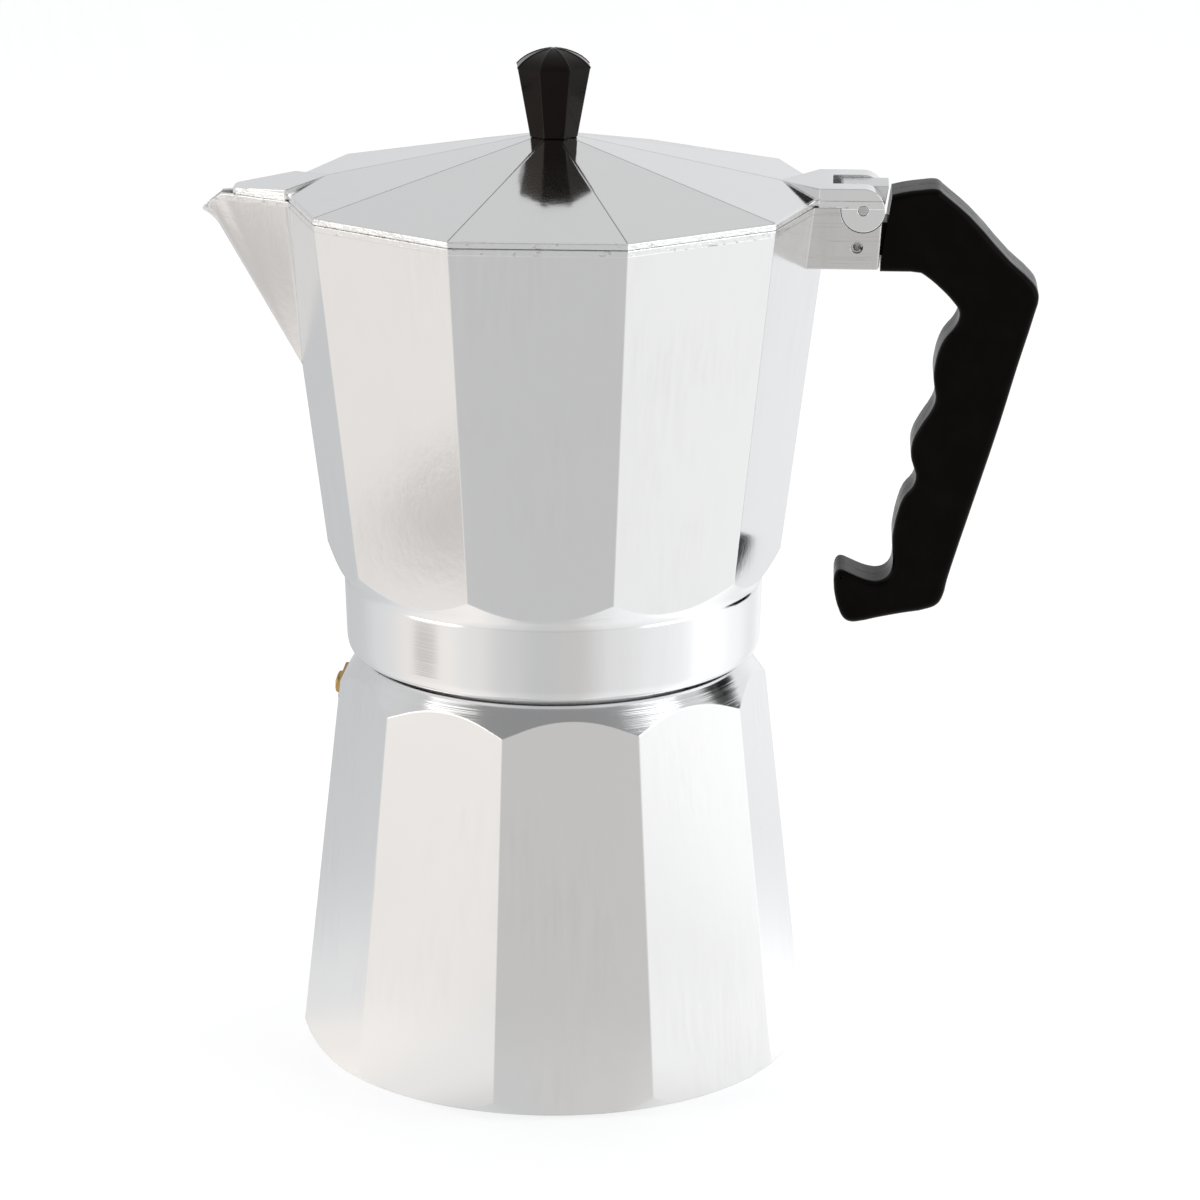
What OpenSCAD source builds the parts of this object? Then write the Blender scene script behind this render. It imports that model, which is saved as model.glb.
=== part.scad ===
// Faceted stovetop coffee pot: boiler, safety valve, funnel and filter parts,
// spouted collector, hinged lid and hooked handle.
// Millimetres. Origin at the centre of the base, +Z up, handle along +X, spout along -X.

/* [Boiler] */
// Width of the base across its corners
base_w = 130; // [118:1:142]
// Height of the boiler's shoulder above the base
boiler_h = 104; // [90:1:120]
// Inward lean of the boiler's corner lines, per millimetre of height
boiler_lean = 0.112; // [0.09:0.002:0.13]
// Thickness of the boiler's walls
boiler_wall = 4; // [3:0.5:5]
// Flat sides round the boiler and the collector
side_n = 10; // [8:2:12]
// Angle between the boiler's corners and the collector's when screwed home
twist_deg = 8; // [0:1:18]

/* [Neck and thread] */
// Neck outside diameter over the thread
neck_w = 93.2; // [88:0.2:96]
// Neck bore
neck_bore = 83; // [78:0.5:85]
// Neck height above the shoulder
neck_h = 10.5; // [9:0.5:12]
// Thread pitch
pitch = 3.5; // [3:0.5:4]

/* [Collector] */
// Height of the turned collar
collar_h = 18.9; // [16:0.1:22]
// Height of the faceted wall above the collar
wall_h = 97.7; // [80:0.1:115]
// Width of the mouth across its corners
mouth_w = 138.2; // [130:0.2:146]
// Outward lean of the collector's corner lines, per millimetre of height
wall_lean = 0.126; // [0.11:0.002:0.14]
// Thickness of the collector's wall
wall_t = 3.2; // [2.6:0.1:4]
// Distance of the spout's tip from the axis
spout_reach = 88; // [84:1:92]
// Height of the coffee column above the collector's floor
column_h = 72; // [55:1:80]

/* [Lid and knob] */
// Rise of the lid from rim to peak
lid_rise = 14.5; // [10:0.5:18]
// Thickness of the lid
lid_t = 1.5; // [1.2:0.1:2]
// Height of the knob
knob_h = 22; // [18:0.5:26]
// Width of the knob across its corners
knob_w = 19.5; // [17:0.5:22]

/* [Handle] */
// Thickness of the handle across the pot's middle plane
handle_t = 17; // [14:0.5:20]
// Width of the hinge bracket
bracket_w = 25; // [22:0.5:28]

/* [Hidden] */
round_fn = 96;
small_fn = 32;
eps = 0.02;

// Rest gaps between pieces that slide, turn or lift
seat_gap = 0.05;
run_gap = 0.05;

// Levels, from the base up
foot_z = 5;
land_z = boiler_h;
collar_gap = 1.4;
collar_z = land_z + collar_gap;
neck_top = land_z + neck_h;
flange_t = 1;
flange_z = neck_top + seat_gap;
gasket_t = 3.35;
gasket_z = flange_z + flange_t + seat_gap;
seat_z = gasket_z + gasket_t + seat_gap;
collar_top = collar_z + collar_h;
floor_z = collar_top - 0.3;
rim_z = collar_top + wall_h;
lid_z = rim_z + seat_gap;
peak_z = rim_z + 1.8 + lid_rise;

// Radii
base_r = base_w / 2;
mouth_r = mouth_w / 2;
neck_r = neck_w / 2;
thread_d = 1;
thread_gap = 0.25;
bore_r = neck_bore / 2;
in_ratio = cos(180 / side_n);
function boiler_r(z) = base_r - boiler_lean * (z - foot_z);
function wall_r(z) = mouth_r - wall_lean * (rim_z - z);
collar_r = wall_r(collar_top) - 3.6;

// Safety valve, on the middle of one flat near the shoulder
valve_z = land_z - 13.5;
valve_turn = twist_deg + 180 / side_n + 360 / side_n * round(4 * side_n / 10);
valve_tilt = atan(boiler_lean * in_ratio);
valve_at = boiler_r(valve_z) * in_ratio;
valve_in = 8.5;
valve_out = 4.8;
valve_travel = 1.5;
valve_bore_r = 3;

// Funnel
basket_r = bore_r - 0.6;
basket_t = 0.8;
basket_deep = 29;
basket_z = flange_z + flange_t - basket_deep;
stem_r = 6.5;
stem_t = 0.8;
stem_clear = 3.5;
floor_t = 5;
stem_z = floor_t + stem_clear;

// Seal pack
gasket_out = neck_r - 0.6;
gasket_in = basket_r - 2.3;
plate_r = gasket_in + 1.8;
plate_t = 0.8;
plate_z = gasket_z + 1.4;

// Hinge, bracket and handle pin
pin_u = mouth_r + 7.9;
pin_z = rim_z - 0.6;
pin_r = 1.25;
knuckle_r = 5.4;
tongue_w = 10.6;
bracket_low = rim_z - 15.5;
roll_u = pin_u - 1.4;
roll_z = pin_z - 9.2;
roll_r = 1.5;
socket_w = 11;

// Column
column_r = 9.5;
column_z = floor_z + column_h;

// Knob
knob_n = 8;
knob_turn = 28;
knob_z = peak_z - 1.25;
knob_foot_r = knob_w * 0.328;
knob_dome = 4.5;

// Underside of the lid's level middle, and the washer that bears on it
lid_slope = lid_rise / (mouth_r + 0.1);
lid_under = peak_z - lid_t - lid_slope * 8;
washer_t = 0.6;
washer_z = lid_under - washer_t - seat_gap;

alu = [0.80, 0.81, 0.82];
alu_dark = [0.68, 0.69, 0.70];
black = [0.03, 0.03, 0.035];
brass = [0.76, 0.58, 0.25];
steel = [0.60, 0.61, 0.63];
white_rubber = [0.92, 0.91, 0.88];

// ---- helpers ----

// Solid turned about Z from half-section points [radius, height]
module turned(pts, fn = round_fn) { rotate_extrude($fn = fn) polygon(pts); }

// Ring between two radii
module ring(r_out, r_in, z, h, fn = round_fn) {
  turned([[r_in, z], [r_out, z], [r_out, z + h], [r_in, z + h]], fn);
}

// Tapered solid with flat sides, corner radii r0 at z0 and r1 at z1
module faceted(z0, r0, z1, r1, n = side_n) {
  translate([0, 0, z0]) cylinder(h = z1 - z0, r1 = r0, r2 = r1, $fn = n);
}

// Profile in the X-Z plane made w thick about Y = 0
module slab(pts, w) {
  rotate([90, 0, 0]) translate([0, 0, -w / 2]) linear_extrude(height = w) polygon(pts);
}

// Round bar along Y through (x, z)
module cross_bar(x, z, r, len, fn = small_fn) {
  translate([x, 0, z]) rotate([90, 0, 0]) cylinder(h = len, r = r, center = true, $fn = fn);
}

// Square-pitched field of small holes inside a radius
module holes(r_field, step, r, z0, z1) {
  n = floor(r_field / step);
  for (i = [-n : n]) for (j = [-n : n])
    if (norm([i, j]) * step <= r_field)
      translate([i * step, j * step, z0]) cylinder(h = z1 - z0, r = r, $fn = 6);
}

// Moves a piece drawn along +Z at the origin onto the valve's axis
module on_valve() {
  rotate([0, 0, valve_turn]) translate([valve_at, 0, valve_z])
    rotate([0, 90 - valve_tilt, 0]) children();
}

// ---- boiler ----

module boiler() {
  shoulder_r = boiler_r(land_z - 7.2);
  land_r = neck_r + 2.9;
  in_top = neck_top + 1;
  color(alu) difference() {
    union() {
      rotate([0, 0, twist_deg]) intersection() {
        faceted(0, boiler_r(0), land_z, boiler_r(land_z));
        turned([[0, 0], [base_r - 5, 0], [base_r - 2.4, 1.1], [base_r - 0.7, 3.1], [base_r + 0.4, 6],
                [base_r + 1.5, 10], [base_r + 1.5, land_z - 7.2 - (base_r + 1.5 - shoulder_r) * 1.28],
                [shoulder_r, land_z - 7.2], [land_r, land_z - 0.5], [land_r - 0.4, land_z], [0, land_z]]);
      }
      ring(neck_r - thread_d, bore_r - 3, land_z - 4, neck_h + 4);
      thread_ribs();
    }
    turned([[0, floor_t], [boiler_r(5) * in_ratio - boiler_wall - 6, floor_t],
            [boiler_r(7) * in_ratio - boiler_wall - 1.6, floor_t + 2],
            [boiler_r(11) * in_ratio - boiler_wall, floor_t + 6],
            [boiler_r(land_z - 11) * in_ratio - boiler_wall, land_z - 10],
            [bore_r, land_z - 3], [bore_r, in_top], [0, in_top]]);
    on_valve() translate([0, 0, -16]) cylinder(h = 32, r = 5, $fn = small_fn);
  }
}

module thread_ribs() {
  for (k = [0 : floor((neck_h - 2.5) / pitch)])
    turned([[neck_r - thread_d - 0.5, land_z + 1 + k * pitch], [neck_r - thread_d, land_z + 1 + k * pitch],
            [neck_r, land_z + 1.7 + k * pitch], [neck_r, land_z + 2.1 + k * pitch],
            [neck_r - thread_d, land_z + 2.8 + k * pitch], [neck_r - thread_d - 0.5, land_z + 2.8 + k * pitch]]);
}

// ---- safety valve ----

module valve_washer() {
  color(steel) on_valve() translate([0, 0, 0.02]) difference() {
    cylinder(h = 0.6, r = 5.9, $fn = small_fn);
    translate([0, 0, -1]) cylinder(h = 3, r = 5.05, $fn = small_fn);
  }
}

module valve_body() {
  color(brass) on_valve() difference() {
    union() {
      translate([0, 0, -valve_in]) cylinder(h = valve_in + 1, r = 4.98, $fn = small_fn);
      translate([0, 0, 0.64]) cylinder(h = 2.6, r = 5.6, $fn = 6);
      translate([0, 0, 2]) cylinder(h = valve_out - 2, r = 2.9, $fn = small_fn);
    }
    translate([0, 0, -valve_in - 1]) cylinder(h = valve_in + 4, r = valve_bore_r, $fn = small_fn);
    cylinder(h = valve_out + 1, r = 1.15, $fn = small_fn);
  }
}

module valve_seat() {
  color(brass) on_valve() translate([0, 0, -valve_in + 0.2]) difference() {
    cylinder(h = 1.8, r = valve_bore_r, $fn = small_fn);
    translate([0, 0, -1]) cylinder(h = 4, r = 1.7, $fn = small_fn);
  }
}

module valve_pin() {
  head_z = -valve_in + 2 + seat_gap;
  color(steel) on_valve() {
    translate([0, 0, head_z]) cylinder(h = 1.4, r = 2.7, $fn = small_fn);
    translate([0, 0, head_z + 1]) cylinder(h = valve_out + 0.5 - head_z - 1, r = 1.1, $fn = small_fn);
  }
}

module valve_spring() {
  wire_r = 0.3;
  coil_r = 2.2;
  start_z = -valve_in + 3.8 + wire_r;
  end_z = 3 - wire_r - 0.05;
  color(steel) on_valve() coil(coil_r, wire_r, start_z, end_z, 6);
}

// Wire of six flats wound round Z
module coil(r, wire, z0, z1, turns) {
  steps = turns * 16;
  flats = 6;
  points = [for (i = [0 : steps]) for (j = [0 : flats - 1])
    let (a = 360 * turns * i / steps, b = 360 * j / flats, q = r + wire * cos(b))
      [q * cos(a), q * sin(a), z0 + (z1 - z0) * i / steps + wire * sin(b)]];
  sides = [for (i = [0 : steps - 1]) for (j = [0 : flats - 1])
    let (k = (j + 1) % flats)
      [i * flats + j, i * flats + k, (i + 1) * flats + k, (i + 1) * flats + j]];
  start_cap = [[for (j = [0 : flats - 1]) flats - 1 - j]];
  end_cap = [[for (j = [0 : flats - 1]) steps * flats + j]];
  polyhedron(points = points, faces = concat(sides, start_cap, end_cap), convexity = 8);
}

// ---- funnel ----

module funnel_basket() {
  lip = neck_r - 2.1;
  cone_r = stem_r + basket_t;
  color(alu_dark) turned([
    [basket_r, flange_z], [lip, flange_z], [lip, flange_z + flange_t], [basket_r - basket_t, flange_z + flange_t],
    [basket_r - basket_t, basket_z + basket_t], [cone_r + 6, basket_z + basket_t - 1], [stem_r, basket_z - 4],
    [stem_r, basket_z - 8], [cone_r, basket_z - 8], [cone_r, basket_z - 5], [cone_r + 6.5, basket_z - 1.8],
    [basket_r - 1.5, basket_z], [basket_r, basket_z + 1.5]]);
}

module funnel_stem() {
  color(alu_dark) turned([
    [stem_r - stem_t, stem_z], [stem_r, stem_z], [stem_r, basket_z - 4.6], [stem_r - stem_t, basket_z - 3.6]]);
}

module funnel_disc() {
  disc_r = basket_r - basket_t - 0.02;
  disc_z = basket_z + basket_t + 0.02;
  color(alu) difference() {
    ring(disc_r, 0, disc_z, plate_t);
    holes(disc_r - 5, 6.4, 0.8, disc_z - 1, disc_z + 2);
  }
}

// ---- seal pack ----

module gasket() {
  color(white_rubber) turned([
    [gasket_in, gasket_z], [gasket_out, gasket_z], [gasket_out, gasket_z + gasket_t],
    [gasket_in, gasket_z + gasket_t], [gasket_in, plate_z + plate_t], [plate_r, plate_z + plate_t],
    [plate_r, plate_z], [gasket_in, plate_z]]);
}

module filter_plate() {
  color(alu) difference() {
    union() {
      ring(plate_r - 0.02, 0, plate_z + 0.02, plate_t - 0.04);
      ring(gasket_in - 1, gasket_in - 1.8, plate_z + 0.2, 1.5);
    }
    holes(gasket_in - 6, 6.4, 0.8, plate_z - 1, plate_z + 2);
  }
}

// ---- collector ----

// Wedge that runs from the rim's outline down to a point on the corner line
module spout_wedge(inset, top) {
  apex_z = rim_z - 44.5 + inset * 1.9;
  apex_u = wall_r(apex_z) - 0.6 - inset * 0.4;
  reach = spout_reach + 0.7 - apex_u - inset;
  half = 12.4 - inset * 1.15;
  mouth_u = mouth_r - 3.5 - apex_u;
  h = top - apex_z;
  translate([-apex_u, 0, top]) mirror([0, 0, 1])
    linear_extrude(height = h, scale = 0.01)
      polygon([[8 + inset * 3, half + 1.6], [-mouth_u, half], [-reach * 0.66, half * 0.36],
               [-reach * 0.87, half * 0.2], [-reach, 0.05], [-reach, -0.05], [-reach * 0.87, -half * 0.2],
               [-reach * 0.66, -half * 0.36], [-mouth_u, -half], [8 + inset * 3, -half - 1.6]]);
}

// Pouring lip at the spout's tip: it curls out of the ridge and widens towards its top
module spout_lip() {
  tip = spout_reach;
  intersection() {
    slab([[-tip + 7.2, rim_z - 12], [-tip + 5.3, rim_z - 9.6], [-tip + 3.4, rim_z - 7.2],
          [-tip + 1.6, rim_z - 5.4], [-tip, rim_z - 4.4], [-tip + 0.6, rim_z - 3.4],
          [-tip + 6, rim_z - 0.6], [-tip + 8, rim_z - 9]], 8);
    hull() {
      translate([-tip + 6.2, 0, rim_z - 11]) cylinder(h = 0.2, r = 0.15, $fn = 12);
      translate([-tip + 8.6, 0, rim_z - 11]) cylinder(h = 0.2, r = 1.2, $fn = 12);
      translate([0, 0, rim_z - 4]) linear_extrude(height = 5)
        polygon([[-tip + 9, -3.0], [-tip + 3.5, -2.1], [-tip + 1, -1.3], [-tip - 0.3, -0.5],
                 [-tip - 0.3, 0.5], [-tip + 1, 1.3], [-tip + 3.5, 2.1], [-tip + 9, 3.0]]);
    }
  }
}

// What is taken off the spout's top in front of the lid's roof: a sloping mouth and a groove
module spout_mouth() {
  tip = spout_reach;
  slab([[-tip + 4.8, rim_z + 2], [-tip + 4.8, rim_z - 0.2], [-tip - 0.4, rim_z - 4], [-tip - 6, rim_z - 4],
        [-tip - 6, rim_z + 2]], 20);
  slab([[-tip + 9, rim_z + 2], [-tip + 9, rim_z - 8], [-tip + 5, rim_z - 6.4], [-tip - 2, rim_z - 1.8],
        [-tip - 2, rim_z + 2]], 2.2);
}

module bracket() {
  w = bracket_w;
  back = pin_u + 5;
  slab([[mouth_r - 9, bracket_low], [back - 1, bracket_low], [back, rim_z], [mouth_r - 9, rim_z]], w);
  slab([[pin_u - 5.6, rim_z - 3], [pin_u - 5.6, rim_z + 3.5], [pin_u - 4.9, rim_z + 4.2],
        [pin_u + 6.3, rim_z + 4.2], [pin_u + 5, rim_z - 3]], tongue_w);
}

module collector() {
  cut_r = 60;
  top = rim_z + 30;
  color(alu) difference() {
    union() {
      intersection() {
        faceted(collar_top, wall_r(collar_top), rim_z, mouth_r);
        turned([[0, collar_top], [collar_r - 0.2, collar_top], [collar_r + 0.2, collar_top + 1.1],
                [collar_r + 1.5, collar_top + 2.9], [collar_r + 4.1, collar_top + 6.7],
                [collar_r + 9, collar_top + 12.2], [collar_r + 40, collar_top + 46],
                [collar_r + 40, rim_z], [0, rim_z]]);
      }
      turned([[0, collar_z], [collar_r - 2.7, collar_z], [collar_r - 1.5, collar_z + 0.7],
              [collar_r - 0.8, collar_z + 2], [collar_r - 0.5, collar_z + 4], [collar_r, collar_top - 0.7],
              [collar_r - 0.2, collar_top], [0, collar_top]]);
      spout_wedge(0, rim_z);
      spout_lip();
      bracket();
    }
    // Inside, from the mouth down to the floor
    intersection() {
      faceted(floor_z, wall_r(floor_z) - wall_t / in_ratio, top, wall_r(top) - wall_t / in_ratio);
      turned([[0, floor_z], [collar_r - 6.5, floor_z], [collar_r - 2.6, floor_z + 2.4],
              [collar_r - 1, floor_z + 6], [collar_r + 6, floor_z + 14], [collar_r + 60, floor_z + 74],
              [collar_r + 60, top], [0, top]]);
    }
    spout_wedge(2, rim_z + 3);
    spout_mouth();
    // Gasket seat and threaded socket from below
    turned([[0, collar_z - 1], [neck_r + thread_d + thread_gap, collar_z - 1],
            [neck_r + thread_d + thread_gap, gasket_z - 0.6], [gasket_out + 0.1, gasket_z - 0.2],
            [gasket_out + 0.1, seat_z], [gasket_in - 2, seat_z], [column_r + 3, seat_z + 1.6], [0, seat_z + 1.6]]);
    translate([0, 0, seat_z]) cylinder(h = 12, r = column_r, $fn = round_fn);
    // Hinge pockets, pin hole and handle socket
    for (s = [-1, 1]) translate([0, s * (tongue_w / 4 + bracket_w / 2), 0])
      cross_bar(pin_u, pin_z, knuckle_r + 0.2, bracket_w - tongue_w / 2 - 0.5, round_fn);
    cross_bar(pin_u, pin_z, pin_r, bracket_w + 2);
    slab([[roll_u - 5, roll_z - 3.6], [pin_u + 9, roll_z - 3.6], [pin_u + 9, roll_z + 5], [roll_u - 5, roll_z + 5]],
         socket_w);
    cross_bar(roll_u, roll_z, roll_r, bracket_w + 2);
  }
  color(alu) socket_ribs();
}

module socket_ribs() {
  root = neck_r + thread_d + thread_gap;
  for (k = [0 : floor((neck_h - 6) / pitch)])
    turned([[root + 0.5, collar_z + 1.2 + k * pitch], [root, collar_z + 1.2 + k * pitch],
            [root - thread_d, collar_z + 1.9 + k * pitch], [root - thread_d, collar_z + 2.3 + k * pitch],
            [root, collar_z + 3 + k * pitch], [root + 0.5, collar_z + 3 + k * pitch]]);
}

module riser_column() {
  color(alu) difference() {
    turned([[column_r - 2, seat_z + 1.8], [column_r, seat_z + 1.8], [column_r, floor_z + 0.02],
            [column_r + 3.5, floor_z + 0.02], [column_r + 3.5, floor_z + 1], [column_r + 1.2, floor_z + 3],
            [6.9, column_z - 4], [6.2, column_z - 1.4], [4, column_z], [0, column_z], [0, column_z - 2.5],
            [4.6, column_z - 4]]);
    cross_bar(0, column_z - 8.5, 2.4, 40, small_fn);
  }
}

// ---- lid ----

module lid() {
  rim_r = mouth_r + 0.1;
  edge_z = rim_z + 1.8;
  color(alu) difference() {
    union() {
      faceted(lid_z, rim_r, edge_z, rim_r);
      faceted(edge_z, rim_r, peak_z, eps);
      // Hinge bar with two rounded knuckles
      intersection() {
        slab([[rim_r - 12.5, lid_z], [rim_r - 12.5, peak_z - lid_slope * (rim_r - 12.5)], [rim_r - 3, pin_z + knuckle_r],
              [pin_u, pin_z + knuckle_r], [pin_u, lid_z]], bracket_w);
        translate([0, 0, lid_z]) linear_extrude(height = 20)
          polygon([[rim_r - 12.5, -0.2], [rim_r - 3, -bracket_w / 2], [pin_u + 9, -bracket_w / 2],
                   [pin_u + 9, bracket_w / 2], [rim_r - 3, bracket_w / 2], [rim_r - 12.5, 0.2]]);
      }
      for (s = [-1, 1]) translate([0, s * (bracket_w / 4 + tongue_w / 4 + 0.15), 0])
        cross_bar(pin_u, pin_z, knuckle_r, bracket_w / 2 - tongue_w / 2 - 0.3, round_fn);
      // Roof over the spout
      intersection() {
        slab([[-rim_r + 12.5, lid_z], [-rim_r + 12.5, peak_z - lid_slope * (rim_r - 12.5)],
              [-rim_r + 3.3, rim_z + 2.9], [-spout_reach + 8, rim_z + 1.6], [-spout_reach + 8, lid_z]], 30);
        translate([0, 0, lid_z]) linear_extrude(height = 20)
          polygon([[-rim_r + 12.5, -0.2], [-rim_r + 3.3, -12.2], [-spout_reach + 9, -3.8],
                   [-spout_reach + 8, -2.8], [-spout_reach + 8, 2.8], [-spout_reach + 9, 3.8],
                   [-rim_r + 3.3, 12.2], [-rim_r + 12.5, 0.2]]);
      }
      lid_lip();
    }
    difference() {
      union() {
        faceted(lid_z - 1, rim_r - 5.2, edge_z - 0.5, rim_r - 5.2);
        faceted(edge_z - 0.5, rim_r - 5.2, lid_under, 8);
      }
      lid_lip();
    }
    // Slot for the bracket's tongue
    slab([[pin_u - 7.5, lid_z - 9], [pin_u + 9, lid_z - 9], [pin_u + 9, peak_z], [pin_u - 7.5, peak_z]],
         tongue_w + 0.6);
    cross_bar(pin_u, pin_z, pin_r + run_gap, bracket_w + 2);
    // Level seat for the knob and hole for its screw
    translate([0, 0, knob_z]) cylinder(h = 9, r = knob_foot_r + 0.6, $fn = round_fn);
    translate([0, 0, rim_z]) cylinder(h = 30, r = 2.1, $fn = small_fn);
  }
}

// Locating lip inside the mouth, open at the spout and the hinge
module lid_lip() {
  out_r = mouth_r - wall_t / in_ratio - 0.8;
  difference() {
    faceted(rim_z - 2.2, out_r, rim_z + 1.4, out_r + 0.2);
    faceted(rim_z - 4, out_r - 1.4, rim_z + 4, out_r - 1.4);
    slab([[-mouth_r, rim_z - 5], [-30, rim_z - 5], [-30, rim_z + 0.2], [-mouth_r, rim_z + 0.2]], 30);
    slab([[mouth_r, rim_z - 5], [30, rim_z - 5], [30, rim_z + 0.2], [mouth_r, rim_z + 0.2]], 34);
  }
}

module lid_knob() {
  r = knob_w / 2;
  body_h = knob_h - knob_dome;
  color(black) rotate([0, 0, knob_turn]) difference() {
    union() {
      faceted(knob_z + 0.02, knob_foot_r, knob_z + body_h, r, knob_n);
      faceted(knob_z + body_h - eps, r, knob_z + body_h + 2.3, r * 0.78, knob_n);
      faceted(knob_z + body_h + 2.3 - eps, r * 0.78, knob_z + body_h + 3.9, r * 0.43, knob_n);
      faceted(knob_z + body_h + 3.9 - eps, r * 0.43, knob_z + knob_h, eps, knob_n);
    }
    translate([0, 0, knob_z - 1]) cylinder(h = 13, r = 2, $fn = small_fn);
  }
}

module knob_washer() { color(steel) ring(5, 2.05, washer_z, washer_t, small_fn); }

module knob_screw() {
  head_t = 2.2;
  color(steel) difference() {
    union() {
      translate([0, 0, washer_z - head_t]) cylinder(h = head_t - 0.02, r = 3.6, $fn = small_fn);
      translate([0, 0, washer_z - 1]) cylinder(h = 14, r = 1.98, $fn = small_fn);
    }
    translate([0, 0, washer_z - head_t]) cube([9, 0.9, 1.6], center = true);
  }
}

module hinge_pin() { color(steel) cross_bar(pin_u, pin_z, pin_r, bracket_w); }

// ---- handle ----

// Side outline: top, back, foot, hook and the wavy finger grip, as [reach, height]
// measured from the hinge pin
function handle_outline() = [
  [7.1, 1.2], [7.9, 2.6], [10, 3.7], [15, 4.4], [17.6, 4.6], [18.8, 4.3], [19.8, 3.4],
  [26.5, -2.3], [36.5, -13.3], [42.3, -18.7], [43.5, -20.6], [43.9, -22.8], [43, -26.6],
  [39, -40.5], [34.9, -55.5], [28.6, -76.5], [24.2, -91], [22.8, -96], [21.9, -99.8],
  [20.6, -102], [18.3, -103.2], [11.3, -104.6], [5.5, -105.8], [0.7, -106.9], [-1.4, -107],
  [-3, -106.2], [-4.4, -103.6], [-5.3, -100.4], [-5.7, -97.2], [-5.6, -95], [-4.9, -93.6],
  [-3.9, -93.3], [-2, -94], [1, -95.3], [3.4, -96], [5.4, -96.1], [7.2, -95.4], [8.5, -93.8],
  [9, -91.6], [8.9, -88], [8.8, -85], [9.2, -81.9], [9.8, -79], [11.5, -74.1], [13.7, -71.4],
  [14.4, -68.8], [13.9, -66.6], [13.1, -63.7], [13.4, -59.8], [15.3, -55.8], [18.2, -51.1],
  [18.9, -48.8], [18.6, -46], [18.3, -42.9], [18.6, -39.8], [19.4, -36.4], [20.8, -33.3],
  [23.4, -30], [24.3, -27.6], [24.1, -25.9], [22.8, -24.3], [20, -21.6], [16, -18.8],
  [14.7, -18], [12, -17.8], [4.6, -17.8]];

module handle_layer(inset, w) {
  slab_h = w;
  translate([pin_u, 0, pin_z]) rotate([90, 0, 0]) translate([0, 0, -slab_h / 2])
    linear_extrude(height = slab_h) offset(delta = -inset) polygon(handle_outline());
}

module handle() {
  color(black) difference() {
    union() {
      handle_layer(1.6, handle_t);
      handle_layer(0.6, handle_t - 2);
      handle_layer(0, handle_t - 4.6);
      // Tongue held in the bracket
      slab([[roll_u - 4.8, roll_z - 3.5], [pin_u + 14, roll_z - 3.5], [pin_u + 14, roll_z + 4.9],
            [roll_u - 4.8, roll_z + 4.9]], socket_w - 0.1);
    }
    cross_bar(roll_u, roll_z, roll_r, bracket_w);
  }
}

module handle_pin() { color(steel) cross_bar(roll_u, roll_z, roll_r, bracket_w - 1.2); }

// ---- the pot ----

boiler();
valve_washer();
valve_body();
valve_seat();
valve_pin();
valve_spring();
funnel_basket();
funnel_stem();
funnel_disc();
gasket();
filter_plate();
collector();
riser_column();
hinge_pin();
handle();
handle_pin();
lid();
lid_knob();
knob_washer();
knob_screw();
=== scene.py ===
"""Faceted stovetop coffee pot, built piece by piece over its mechanical frame.

Sizes are in millimetres while a piece is being made and are turned into metres
when it is handed to the frame. The origin is the centre of the base, +Z is up,
the handle is along +X and the spout along -X.
"""
import logging
import math
from dataclasses import dataclass, field
from enum import Enum

import bmesh
import bpy
from mathutils import Matrix, Vector


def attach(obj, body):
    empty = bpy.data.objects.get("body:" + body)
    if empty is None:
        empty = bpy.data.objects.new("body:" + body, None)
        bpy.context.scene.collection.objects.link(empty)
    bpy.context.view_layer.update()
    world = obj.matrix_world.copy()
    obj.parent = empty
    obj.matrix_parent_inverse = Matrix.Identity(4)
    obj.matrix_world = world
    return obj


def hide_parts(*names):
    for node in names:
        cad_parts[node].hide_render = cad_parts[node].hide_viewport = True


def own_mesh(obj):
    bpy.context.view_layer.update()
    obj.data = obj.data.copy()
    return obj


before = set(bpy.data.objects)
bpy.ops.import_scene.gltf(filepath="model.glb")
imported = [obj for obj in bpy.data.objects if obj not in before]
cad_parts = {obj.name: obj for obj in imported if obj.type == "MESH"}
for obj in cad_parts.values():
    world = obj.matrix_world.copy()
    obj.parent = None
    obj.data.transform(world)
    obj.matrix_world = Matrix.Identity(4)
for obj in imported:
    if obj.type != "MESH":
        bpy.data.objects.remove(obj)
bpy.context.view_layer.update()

LOG = logging.getLogger("coffee_pot")
MM = 0.001
RIM = 222.0
SPOUT_REACH = 88.0
THREAD_PITCH = 3.5
CORNER_ROUND = 1.1
PIN_X, PIN_Z, PIN_RADIUS, KNUCKLE = 77.0, 221.4, 1.25, 5.4
ROLL_X, ROLL_Z, ROLL_RADIUS = 75.6, 212.2, 1.5
BORE_LENGTH = 27.0
Section = list[tuple[float, float]]
Colour = tuple[float, float, float]


# ---------------------------------------------------------------- finishes


class Grain(Enum):
    """How the surface of a metal was worked."""

    SATIN = "satin polished casting"
    RAW = "raw casting"
    TURNED = "turned"
    MIRROR = "buffed sheet"
    FILED = "filed along the handle"
    PLAIN = "plain drawn metal"


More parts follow.
